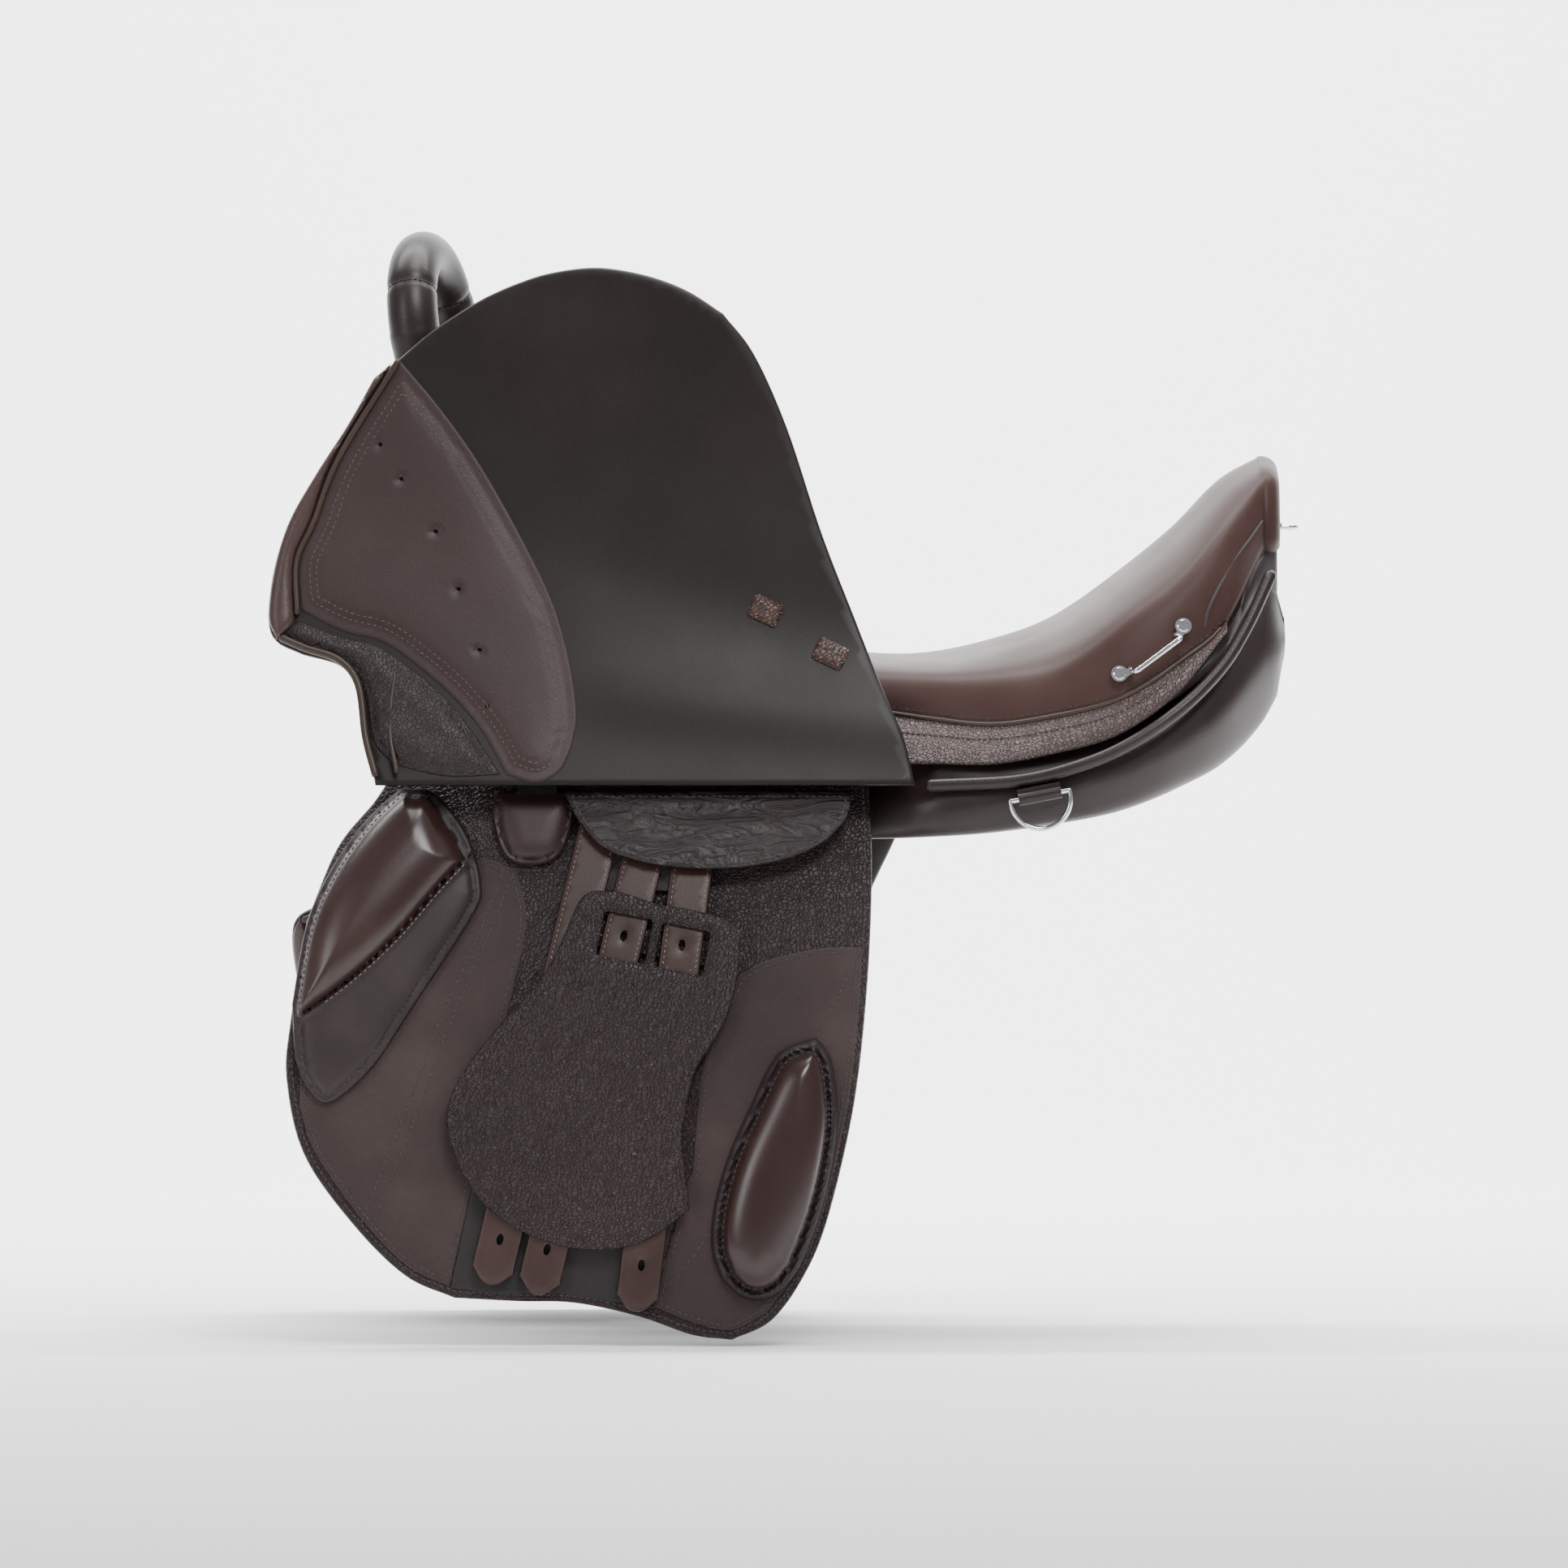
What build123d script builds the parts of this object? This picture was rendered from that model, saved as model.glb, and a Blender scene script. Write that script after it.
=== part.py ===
from build123d import *
from math import atan2, cos, hypot, radians, sin, sqrt
import os

# English saddle with a grab handle: head toward -X, near (left) side toward -Y, +Z up, millimetres.
# The origin is on the centre plane, level with the fold of the flaps, under the deepest seat.

# Side profile of the seat, from pommel to cantle: station, then half widths and heights there.
# x, crown height, ridge half width and height, seam half width and height
SEAT_STATIONS = [
    (-292, 148, 52, 140, 66, 96),
    (-262, 152, 60, 142, 74, 92),
    (-200, 128, 62, 116, 78, 82),
    (-120, 101, 72, 88, 88, 64),
    (-40, 86, 92, 72, 104, 52),
    (20, 83, 104, 66, 114, 42),
    (64, 92, 114, 66, 126, 38),
    (93, 102, 118, 70, 130, 42),
    (145, 137, 122, 101, 134, 57),
    (174, 161, 114, 121, 126, 76),
    (203, 190, 92, 152, 108, 101),
    (228, 204, 56, 186, 66, 150),
]
# x, lower edge half width and height of the skirt
SKIRT_EDGE = [
    (-262, 130, 15),
    (-200, 131, 14),
    (-120, 132, 14),
    (-40, 133, 14),
    (20, 134, 14),
    (64, 141, 14),
    (93, 143, 19),
    (145, 143, 36),
    (174, 136, 58),
    (203, 118, 94),
]
# x, top and bottom height, outer half width, and the outer half width at the bottom
PANEL_STATIONS = [
    (-300, 66, -18, 92, 84),
    (-262, 52, -26, 96, 96),
    (-200, 44, -28, 96, 106),
    (-120, 36, -30, 92, 110),
    (-14, 30, -31, 98, 114),
    (20, 28, -30, 128, 136),
    (64, 26, -27, 138, 138),
    (93, 30, -23, 139, 136),
    (145, 42, -12, 138, 130),
    (174, 58, 0, 130, 118),
    (203, 86, 16, 112, 98),
    (228, 122, 43, 84, 72),
    (240, 108, 80, 66, 58),
]
WELT_LINE = [
    (24, 139, 1),
    (76, 145, 4),
    (113, 148, 13),
    (143, 147, 26),
    (174, 140, 47),
    (199, 124, 72),
    (215, 108, 97),
    (230, 90, 128),
]

LEATHER = 3.0  # thickness of the seat and skirt leather
SKIRT_BULGE = 2.0
FOAM = 27.0
TREE_WALL = 7.0
GULLET_HALF = 36.0
WELT_R = 4.0

# The barrel: every piece below the seat lies on one round surface, whose axis runs along X.
BARREL_R = 800.0
BARREL_Z = -343.0
BARREL_TOP_Y = -117.73  # near side of the surface, level with the fold
BARREL_Y = BARREL_TOP_Y + sqrt(BARREL_R**2 - BARREL_Z**2)
REACH = 420.0
CUT = 40.0  # a layer height well clear of every piece

# Layers on the barrel surface, from the horse outwards: low and high, in millimetres.
SWEAT_FLAP = 3.5
PATCH = 1.2
BLOCK = 20.0
BLOCK_RIM = 11.0
POCKET = 10.0
LAYER_GAP = 0.5
WEB = 1.6
BILLET = 4.0
GUARD = 2.8
APRON = 2.5
PATCH_TOP = SWEAT_FLAP + PATCH
BRIDGE_LOW = PATCH_TOP + LAYER_GAP
BRIDGE_TOP = BRIDGE_LOW + WEB
BILLET_LOW = BRIDGE_TOP + LAYER_GAP
BILLET_TOP = BILLET_LOW + BILLET
GUARD_LOW = BILLET_TOP + LAYER_GAP
GUARD_TOP = GUARD_LOW + GUARD
APRON_LOW = GUARD_TOP + LAYER_GAP

BILLET_WIDTH = 25.0
BILLET_PITCH = 24.0
BILLET_HOLES = 9
BILLET_TIP = 9.0
HOLE_FROM_TIP = 28.0
HOLE_LENGTH = 7.0
HOLE_WIDTH = 4.2
BILLETS = {
    "first": ((-172, -8), (-241, -297)),
    "second": ((-141.5, -8), (-213, -303)),
    "third": ((-115.5, -8), (-153.5, -313)),
}
WEB_STARTS = (-184, -140)
WEB_WIDTH = 34.0
WEB_TAPER = 8.0
WEB_HIGH = 10.0
WEB_LOW = -62.0

WINDOWS = [(-160.5, -90), (-126, -97)]
WINDOW_TURN = -11.0
WINDOW_CLEAR = BILLET_WIDTH + 5
WINDOW_HEIGHT = 27.0
BRIDGE_ROOT = 2.0
BRIDGE_HEIGHT = 15.0

# The flaps fold on a line along X.
FOLD_Y = -150.0
FOLD_Z = 0.0
FLAP_HEIGHT = 316.0
FLAP_LEAN = 12.0
FLAP_R = 800.0
FLAP = 4.0
LINING = 1.8
KNEE_PAD = 4.5
KEEPER = 3.0
KEEPERS = ((-76, 107), (-37, 81))
KEEPER_TURN = -25.0
KEEPER_SIZE = (20, 15)
FLAP_SWING = 170.8

HANDLE_R = 15.0
HANDLE_CORE_R = 8.0
HANDLE_HALF_SPREAD = 46.0
HANDLE_STAGGER = 11.0
HANDLE_LEAN = 8.0
HANDLE_LEG = 128.0
HANDLE_FOOT = (-262.0, 0.0, 153.0)
CORE_DEPTH = 34.0
WASHER = 3.0

OPENING_X = -30.0
OPENING_LENGTH = 240.0
OPENING_WIDTH = 64.0
WEB_SHEET = 2.5

PLATE_X = -226.0
PLATE_WIDTH = 24.0
PLATE = 4.0
PLATE_LAYER = BRIDGE_LOW + 1.5
PLATE_PLAY = 0.8
PLATE_TIP_Z = -34.0
PLATE_BEND_Z = 16.0

CANTLE_CLOSE = 4.0
STAPLE_Z = 160.0
STAPLE_R = 1.6
STAPLE_PLATE = (30, 12, 4)
STAPLE_LEG = 6.0
RIVETS = ((-11, STAPLE_Z), (11, STAPLE_Z))
RIVET_R = 1.7
RIVET_HEAD_R = 3.0
RIVET_HEAD = 1.2

BAR_X = -165.0
BAR_LENGTH = 90.0
BAR_Y = -104.0
BAR_Z = 17.0
BAR_HEIGHT = 12.0
BAR_THICK = 3.0
BAR_RETURN = 6.0
BAR_OPEN = 14.0
BAR_OUT = 9.0
FOOT_LENGTH = 56.0
FOOT_RIVETS = 18.0
FOOT_RIVET_R = 2.0
FOOT = 1.8
CATCH_LENGTH = 22.0
CATCH_HEIGHT = 11.0
CATCH_GAP = 0.8

RING_WIRE_R = 1.5
RING_HALF = 18.0
RING_DROP = 20.0
RING_GAP = 0.4
RING_X = 89.0
RING_Y = -149.5
RING_Z = -5.0
RING_TILT = 11.0
RING_SHOULDER = 3.0
TAB_HALF = 13.0
TAB_WALL = 2.0

SIDE_BAR_HALF = 24.5
SIDE_BAR_WIRE_R = 1.7
BAR_FRONT = Vector(137, -135, 68)
BAR_REAR = Vector(176, -127, 97)
BAR_FACING = Vector(0.1, -1, 0.25)
BAR_EYE_R = 5.0
BAR_EYE = 2.5
SCREW_R = 1.6
SCREW_HEAD_R = 3.8
SCREW_HEAD = 1.6
SCREW_SLOT = (4.4, 0.9)

ROOT_START = -300.0
ROOT_LENGTH = 312.0

os.makedirs("parts", exist_ok=True)


def save(part, label):
    """Label one finished piece and write it as its own file."""
    part.label = label
    export_step(part, f"parts/{label}.step")


def save_pair(part, label):
    """Write the near piece and its mirror image on the off side."""
    save(part, f"near_{label}")
    with BuildPart() as twin:
        mirror(part, about=Plane.XZ)
    save(twin.part, f"off_{label}")


def save_both(part, label):
    """Write near and off pieces together, as one group of separate solids."""
    with BuildPart() as group:
        add(part)
        mirror(part, about=Plane.XZ)
    save(group.part, label)


def station_loft(sections):
    """A ruled body through closed outlines: each is an X and its (Y, Z) corners."""
    with BuildPart() as body:
        for x, corners in sections:
            with BuildSketch(Plane.YZ.offset(x)):
                with BuildLine():
                    Polyline(*corners, close=True)
                make_face()
        loft(ruled=True)
    return body.part


def side_face(*strokes):
    """A closed face in the side view: each stroke is a line of two points or a smooth curve."""
    with BuildSketch(Plane.XZ) as face:
        with BuildLine():
            for stroke in strokes:
                if len(stroke) == 2:
                    Line(*stroke)
                else:
                    Spline(*stroke)
        make_face()
    return face.sketch


def curved_layer(face, centre, inner_r, outer_r):
    """The part of a side-view face that lies between two cylinders along X."""
    with BuildPart() as layer:
        extrude(face, amount=REACH)
        with BuildSketch(Plane.YZ):
            with Locations(centre):
                Circle(outer_r)
                Circle(inner_r, mode=Mode.SUBTRACT)
        extrude(amount=REACH, both=True, mode=Mode.INTERSECT)
    return layer.part


def barrel_layer(face, low, high):
    """A near-side sheet on the barrel surface, from one layer height to another."""
    return curved_layer(face, (BARREL_Y, BARREL_Z), BARREL_R + low, BARREL_R + high)


def stepped_pad(face, crown_face, low, middle, high):
    """A pad on the barrel with a flat rim and a higher crown."""
    rim = barrel_layer(face, low, middle)
    crown = barrel_layer(crown_face, low, high)
    with BuildPart() as pad:
        add(rim)
        add(crown)
    return pad.part


def top_line(station, drop, inset):
    """The seat's top, from seam to seam, set inside the leather by a drop and an inset."""
    _, crown, ridge_y, ridge_z, seam_y, seam_z = station
    shoulder_z = ridge_z + 0.75 * (crown - ridge_z)
    half = [
        (seam_y - inset, seam_z),
        (ridge_y - inset, ridge_z - drop),
        (ridge_y / 2, shoulder_z - drop),
    ]
    left = [(-y, z) for y, z in half]
    return left + [(0, crown - drop)] + half[::-1]


def tree_line(station, drop):
    """The tree's surface under the foam, from seam to seam."""
    _, crown, ridge_y, ridge_z, seam_y, seam_z = station
    edge = (seam_y - LEATHER, seam_z - drop)
    rail = (ridge_y - FOAM / 2, max(ridge_z - FOAM, seam_z - 2 * LEATHER) - drop)
    peak = (0, crown - LEATHER - FOAM - drop)
    return [(-edge[0], edge[1]), (-rail[0], rail[1]), peak, rail, edge]


# Seat: leather cover, foam, moulded tree and the webbing in the tree's opening
def make_seat():
    cover = station_loft(
        [(s[0], top_line(s, 0, 0) + top_line(s, LEATHER, LEATHER)[::-1]) for s in SEAT_STATIONS]
    )
    foam = station_loft(
        [(s[0], top_line(s, LEATHER, LEATHER) + tree_line(s, 0)[::-1][1:-1]) for s in SEAT_STATIONS]
    )
    tree = station_loft(
        [(s[0], tree_line(s, 0) + tree_line(s, TREE_WALL)[::-1]) for s in SEAT_STATIONS]
    )
    return cover, foam, tree


def handle_plane():
    """The plane of the handle's arch: x runs across the saddle, y up its legs."""
    across = Vector(HANDLE_STAGGER, HANDLE_HALF_SPREAD, 0)
    up = Vector(-sin(radians(HANDLE_LEAN)), 0, cos(radians(HANDLE_LEAN)))
    return Plane(origin=HANDLE_FOOT, x_dir=across, z_dir=across.cross(up))


ARCH = handle_plane()
ARCH_R = hypot(HANDLE_STAGGER, HANDLE_HALF_SPREAD)
FOOT_PLANE = Plane(origin=HANDLE_FOOT, x_dir=ARCH.x_dir, z_dir=ARCH.y_dir)


def foot_holes(piece):
    """The piece with the two holes that the handle's core passes through."""
    with BuildPart() as drilled:
        add(piece)
        with BuildSketch(FOOT_PLANE):
            with Locations((-ARCH_R, 0), (ARCH_R, 0)):
                Circle(HANDLE_CORE_R)
        extrude(amount=2 * CORE_DEPTH, both=True, mode=Mode.SUBTRACT)
    return drilled.part


def arch_tube(foot, outer_r, inner_r):
    """A tube along the arch, from a height on the near leg to the same height on the far one."""
    with BuildPart() as tube:
        with BuildLine(ARCH) as path:
            Line((-ARCH_R, foot), (-ARCH_R, HANDLE_LEG))
            RadiusArc((-ARCH_R, HANDLE_LEG), (ARCH_R, HANDLE_LEG), ARCH_R)
            Line((ARCH_R, HANDLE_LEG), (ARCH_R, foot))
        with BuildSketch(Plane(origin=path.line @ 0, z_dir=path.line % 0)):
            Circle(outer_r)
            if inner_r > 0:
                Circle(inner_r, mode=Mode.SUBTRACT)
        sweep()
    return tube.part


seat_cover, seat_foam, tree_frame = make_seat()

with BuildPart() as opening:
    with BuildSketch():
        with Locations((OPENING_X, 0)):
            SlotOverall(OPENING_LENGTH, OPENING_WIDTH)
    extrude(amount=REACH)

with BuildPart() as tree:
    add(tree_frame)
    add(opening.part, mode=Mode.SUBTRACT)

web_sheet = station_loft(
    [(s[0], tree_line(s, 0) + tree_line(s, WEB_SHEET)[::-1]) for s in SEAT_STATIONS]
)
with BuildPart() as webbing:
    add(web_sheet)
    add(opening.part, mode=Mode.INTERSECT)

save(foot_holes(seat_cover), "seat_cover")
save(foot_holes(seat_foam), "seat_foam")
save(foot_holes(tree.part), "tree_frame")
save(webbing.part, "seat_webbing")

# Grab handle: steel core, leather grip and two washers on the pommel
save(arch_tube(-CORE_DEPTH, HANDLE_CORE_R, 0), "handle_core")
save(arch_tube(WASHER, HANDLE_R, HANDLE_CORE_R), "handle_grip")
with BuildPart() as washers:
    with BuildSketch(FOOT_PLANE):
        with Locations((-ARCH_R, 0), (ARCH_R, 0)):
            Circle(HANDLE_R + WASHER)
            Circle(HANDLE_CORE_R, mode=Mode.SUBTRACT)
    extrude(amount=WASHER)
save(washers.part, "handle_washers")


# Cantle: the leather that closes the back, and the staple with its ring
def cantle_section(station):
    """The closed outline of the cantle's back at one station."""
    _, crown, ridge_y, ridge_z, seam_y, seam_z = station
    half = [(seam_y, seam_z - TREE_WALL - CANTLE_CLOSE), (seam_y, seam_z), (ridge_y, ridge_z)]
    return [(-y, z) for y, z in half] + [(0, crown)] + half[::-1]


CANTLE_BACK_X = SEAT_STATIONS[-1][0]
BACK_STATIONS = [
    (CANTLE_BACK_X, 204, 56, 186, 66, 146),
    (CANTLE_BACK_X + 6, 200, 48, 182, 60, 146),
    (CANTLE_BACK_X + 10, 190, 36, 174, 46, 150),
]
save(station_loft([(s[0], cantle_section(s)) for s in BACK_STATIONS]), "cantle_back")

STAPLE_X = BACK_STATIONS[-1][0]
BOW_X = STAPLE_X + STAPLE_LEG
with BuildPart() as staple:
    with BuildSketch(Plane.YZ.offset(STAPLE_X)):
        with Locations((0, STAPLE_Z)):
            RectangleRounded(*STAPLE_PLATE)
        with Locations(*RIVETS):
            Circle(RIVET_R, mode=Mode.SUBTRACT)
    extrude(amount=STAPLE_R)
    with BuildLine(Plane.XY.offset(STAPLE_Z)) as bow:
        Line((STAPLE_X + STAPLE_R, -STAPLE_LEG), (BOW_X, -STAPLE_LEG))
        RadiusArc((BOW_X, -STAPLE_LEG), (BOW_X, STAPLE_LEG), -STAPLE_LEG)
        Line((BOW_X, STAPLE_LEG), (STAPLE_X + STAPLE_R, STAPLE_LEG))
    with BuildSketch(Plane(origin=bow.line @ 0, z_dir=bow.line % 0)):
        Circle(STAPLE_R)
    sweep()
save(staple.part, "cantle_staple")

with BuildPart() as rivets:
    with BuildSketch(Plane.YZ.offset(STAPLE_X)):
        with Locations(*RIVETS):
            Circle(RIVET_R)
    extrude(amount=STAPLE_R)
    with BuildSketch(Plane.YZ.offset(STAPLE_X + STAPLE_R)):
        with Locations(*RIVETS):
            Circle(RIVET_HEAD_R)
    extrude(amount=RIVET_HEAD, taper=30)
save(rivets.part, "cantle_staple_rivets")


# Skirts: from the seat's seam down over the stirrup bars
def skirt_section(station, edge):
    """The skirt's closed outline between the seat's seam and its own edge at one station."""
    seam_y, seam_z = station[4], station[5]
    x, edge_y, edge_z = edge
    middle = (-(seam_y + edge_y) / 2 - SKIRT_BULGE, (seam_z + edge_z) / 2)
    outer = [(-seam_y, seam_z), middle, (-edge_y, edge_z)]
    inner = [(y + LEATHER, z) for y, z in outer]
    return x, outer + inner[::-1]


SKIRT_STATIONS = zip(SEAT_STATIONS[1:-1], SKIRT_EDGE)
save_pair(station_loft([skirt_section(s, e) for s, e in SKIRT_STATIONS]), "skirt")


# Panels: the two flocked cushions that rest on the horse, either side of the gullet
def panel_section(station):
    """The panel's eight corners at one station, from the gullet over the top and round."""
    _, top, bottom, outer, foot = station
    height = top - bottom
    return [
        (-GULLET_HALF, top - 0.18 * height),
        (-(GULLET_HALF + outer) / 2, top),
        (-(outer - 12), top - 0.12 * height),
        (-outer, top - 0.45 * height),
        (-(outer + foot) / 2 - 3, bottom + 0.3 * height),
        (-(foot - 8), bottom),
        (-(GULLET_HALF + foot) / 2 + 4, bottom + 0.14 * height),
        (-(GULLET_HALF + 3), bottom + 0.46 * height),
    ]


save_pair(station_loft([(s[0], panel_section(s)) for s in PANEL_STATIONS]), "panel")


def welt_section(y, z):
    """Six corners round the welt's centre."""
    return [(-y + WELT_R * cos(radians(a)), z + WELT_R * sin(radians(a))) for a in range(0, 360, 60)]


save_pair(station_loft([(x, welt_section(y, z)) for x, y, z in WELT_LINE]), "panel_welt")

# Head plate: the steel arch under the pommel, whose points run down to the point pockets
def barrel_y(z, layer):
    """Y of the near-side barrel surface at a height, a layer out from it."""
    return BARREL_Y - sqrt((BARREL_R + layer) ** 2 - (z - BARREL_Z) ** 2)


PLATE_PATH = [
    (barrel_y(PLATE_TIP_Z, PLATE_LAYER), PLATE_TIP_Z),
    (barrel_y(PLATE_BEND_Z, PLATE_LAYER), PLATE_BEND_Z),
    (-74, 62),
    (-46, 72),
    (46, 72),
    (74, 62),
    (-barrel_y(PLATE_BEND_Z, PLATE_LAYER), PLATE_BEND_Z),
    (-barrel_y(PLATE_TIP_Z, PLATE_LAYER), PLATE_TIP_Z),
]


def plate_band(x, width, thickness):
    """A band of the head plate's path, from x on."""
    with BuildPart() as band:
        with BuildSketch(Plane.YZ.offset(x)):
            with BuildLine():
                Polyline(*PLATE_PATH)
            trace(line_width=thickness)
        extrude(amount=width)
    return band.part


save(plate_band(PLATE_X, PLATE_WIDTH, PLATE), "head_plate")

pocket_face = side_face(
    [(-240, -2), (-192, -2)],
    [(-192, -2), (-192, -20), (-200, -41), (-216, -47), (-233, -42), (-241, -20), (-240, -2)],
)
pocket_pad = barrel_layer(pocket_face, PATCH_TOP, PATCH_TOP + POCKET)
plate_room = plate_band(PLATE_X - PLATE_PLAY, PLATE_WIDTH + 2 * PLATE_PLAY, PLATE + 2 * PLATE_PLAY)
with BuildPart() as pocket:
    add(pocket_pad)
    add(plate_room, mode=Mode.SUBTRACT)
save_pair(pocket.part, "point_pocket")

# Stirrup bars: a J of flat steel under each skirt, with a hinged catch at the open end
BAR_END = BAR_X + BAR_LENGTH - BAR_OPEN
BAR_BACK = BAR_Y + BAR_OUT
BAR_LEVEL = BAR_Z + BAR_HEIGHT / 2
bar_corners = [
    (BAR_X, BAR_BACK),
    (BAR_X, BAR_Y),
    (BAR_END, BAR_Y),
    (BAR_END, BAR_Y + BAR_THICK),
    (BAR_X + BAR_RETURN, BAR_Y + BAR_THICK),
    (BAR_X + BAR_RETURN, BAR_BACK),
]
with BuildPart() as bar:
    with BuildSketch(Plane.XY.offset(BAR_Z)):
        with BuildLine():
            Polyline(*bar_corners, close=True)
        make_face()
    extrude(amount=BAR_HEIGHT)
    with BuildSketch(Plane.XZ.offset(-BAR_BACK)):
        with Locations((BAR_X + 20, BAR_LEVEL)):
            RectangleRounded(FOOT_LENGTH, BAR_HEIGHT, BAR_THICK)
            with Locations((-FOOT_RIVETS, 0), (FOOT_RIVETS, 0)):
                Circle(FOOT_RIVET_R, mode=Mode.SUBTRACT)
    extrude(amount=-FOOT)
save_pair(bar.part, "stirrup_bar")

with BuildPart() as catch:
    with BuildSketch(Plane.XZ.offset(-BAR_Y)):
        with Locations((BAR_END + CATCH_GAP + CATCH_LENGTH / 2, BAR_LEVEL)):
            SlotOverall(CATCH_LENGTH, CATCH_HEIGHT)
    extrude(amount=-BAR_THICK)
save_pair(catch.part, "bar_catch")

# Sweat flap with its suede patches
sweat_face = side_face(
    [(-300, 12), (-14, 12)],
    [(-14, 12), (-12, -50), (-15, -120), (-23, -190), (-38, -255), (-52, -290), (-72, -318), (-96, -330)],
    [(-96, -330), (-120, -327), (-152, -316), (-190, -308), (-224, -307), (-262, -305)],
    [(-262, -305), (-291, -292), (-322, -262), (-352, -220), (-363, -175), (-361, -140), (-352, -80)],
    [(-352, -80), (-334, -36), (-312, -8), (-300, 12)],
)
save_pair(barrel_layer(sweat_face, 0, SWEAT_FLAP), "sweat_flap")

front_patch_face = side_face(
    [(-226, -50), (-220, -82), (-231, -137), (-252, -240), (-265, -298)],
    [(-265, -298), (-291, -285), (-319, -256), (-346, -217), (-355, -190)],
    [(-355, -190), (-300, -190)],
    [(-300, -190), (-262, -120), (-243, -60), (-240, -50)],
    [(-240, -50), (-226, -50)],
)
save_pair(barrel_layer(front_patch_face, SWEAT_FLAP, PATCH_TOP), "front_suede_patch")

rear_patch_face = side_face(
    [(-18, -96), (-45, -97), (-75, -104), (-92, -113)],
    [(-92, -113), (-112, -160), (-120, -230), (-122, -234), (-143, -310)],
    [(-143, -310), (-118, -320), (-96, -324), (-76, -314)],
    [(-76, -314), (-56, -287), (-42, -254), (-27, -190), (-20, -130), (-18, -96)],
)
save_pair(barrel_layer(rear_patch_face, SWEAT_FLAP, PATCH_TOP), "rear_suede_patch")

# Knee and thigh blocks
knee_face = side_face(
    [(-290, -1), (-276, -3), (-256, -28), (-247, -58), (-252, -77), (-287, -131)],
    [(-287, -131), (-311, -167), (-335, -188), (-347, -184), (-357, -165), (-360, -130)],
    [(-360, -130), (-352, -83), (-338, -50), (-318, -21), (-297, -1), (-290, -1)],
)
knee_crown = side_face(
    [(-292, -9), (-272, -24), (-257, -42), (-258, -48)]
    + [(-275, -63), (-297, -90), (-322, -112), (-346, -128)],
    [(-346, -128), (-350, -126), (-344, -88), (-330, -54), (-312, -26), (-297, -11), (-292, -9)],
)
RIM_TOP = PATCH_TOP + BLOCK_RIM
save_pair(stepped_pad(knee_face, knee_crown, PATCH_TOP, RIM_TOP, PATCH_TOP + BLOCK), "knee_block")

thigh_face = side_face(
    [(-46, -150), (-69, -160), (-85, -190), (-99, -222), (-107, -252), (-108, -276), (-102, -294)],
    [(-102, -294), (-91, -304), (-78, -306), (-66, -300), (-56, -288)],
    [(-56, -288), (-46, -263), (-38, -235), (-33, -203), (-34, -177), (-38, -160), (-46, -150)],
)
thigh_crown = side_face(
    [(-51, -163), (-68, -173), (-83, -202), (-95, -236), (-99, -266), (-93, -286)],
    [(-93, -286), (-80, -294), (-66, -284), (-55, -262), (-47, -234), (-42, -203), (-43, -176), (-51, -163)],
)
save_pair(stepped_pad(thigh_face, thigh_crown, PATCH_TOP, RIM_TOP, PATCH_TOP + BLOCK), "thigh_block")


# Billets: three straps a side, sewn to webs that come down from the tree
def strap_face(top, tip, width, holes):
    """A pointed strap in the side view, with punched oval holes counted up from the tip."""
    length = hypot(top[0] - tip[0], top[1] - tip[1])
    turn = atan2(tip[1] - top[1], tip[0] - top[0])
    start = (top[0], 0, top[1])
    along = Plane(origin=start, x_dir=(cos(turn), 0, sin(turn)), z_dir=(0, -1, 0))
    half = width / 2
    neck = length - BILLET_TIP
    round_y = 0.45 * half
    with BuildSketch(along) as face:
        with BuildLine():
            Polyline((neck, half), (0, half), (0, -half), (neck, -half))
            Spline((neck, -half), (length - 2, -round_y), (length, 0), (length - 2, round_y), (neck, half))
        make_face()
        with Locations(*[(length - HOLE_FROM_TIP - n * BILLET_PITCH, 0) for n in range(holes)]):
            SlotOverall(HOLE_LENGTH, HOLE_WIDTH, mode=Mode.SUBTRACT)
    return face.sketch


for name, (top, tip) in BILLETS.items():
    face = strap_face(top, tip, BILLET_WIDTH, BILLET_HOLES)
    save_pair(barrel_layer(face, BILLET_LOW, BILLET_TOP), f"{name}_billet")


def web_layer(x):
    """One tapered web, from under the skirt down behind the billets."""
    narrow = x + WEB_WIDTH - WEB_TAPER
    face = side_face(
        [(x, WEB_HIGH), (x + WEB_WIDTH, WEB_HIGH)],
        [(x + WEB_WIDTH, WEB_HIGH), (narrow, WEB_LOW)],
        [(narrow, WEB_LOW), (x - WEB_TAPER, WEB_LOW)],
        [(x - WEB_TAPER, WEB_LOW), (x, WEB_HIGH)],
    )
    return barrel_layer(face, BRIDGE_LOW, BRIDGE_TOP)


web_layers = [web_layer(x) for x in WEB_STARTS]
with BuildPart() as webs:
    for layer in web_layers:
        add(layer)
save_both(webs.part, "girth_webs")

apron_face = side_face(
    [(-198, -2), (-24, -2)],
    [(-24, -2), (-27, -17), (-40, -32), (-60, -42), (-88, -48), (-120, -49), (-148, -46)],
    [(-148, -46), (-173, -37), (-189, -20), (-198, -2)],
)
save_pair(barrel_layer(apron_face, APRON_LOW, APRON_LOW + APRON), "apron")

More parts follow.
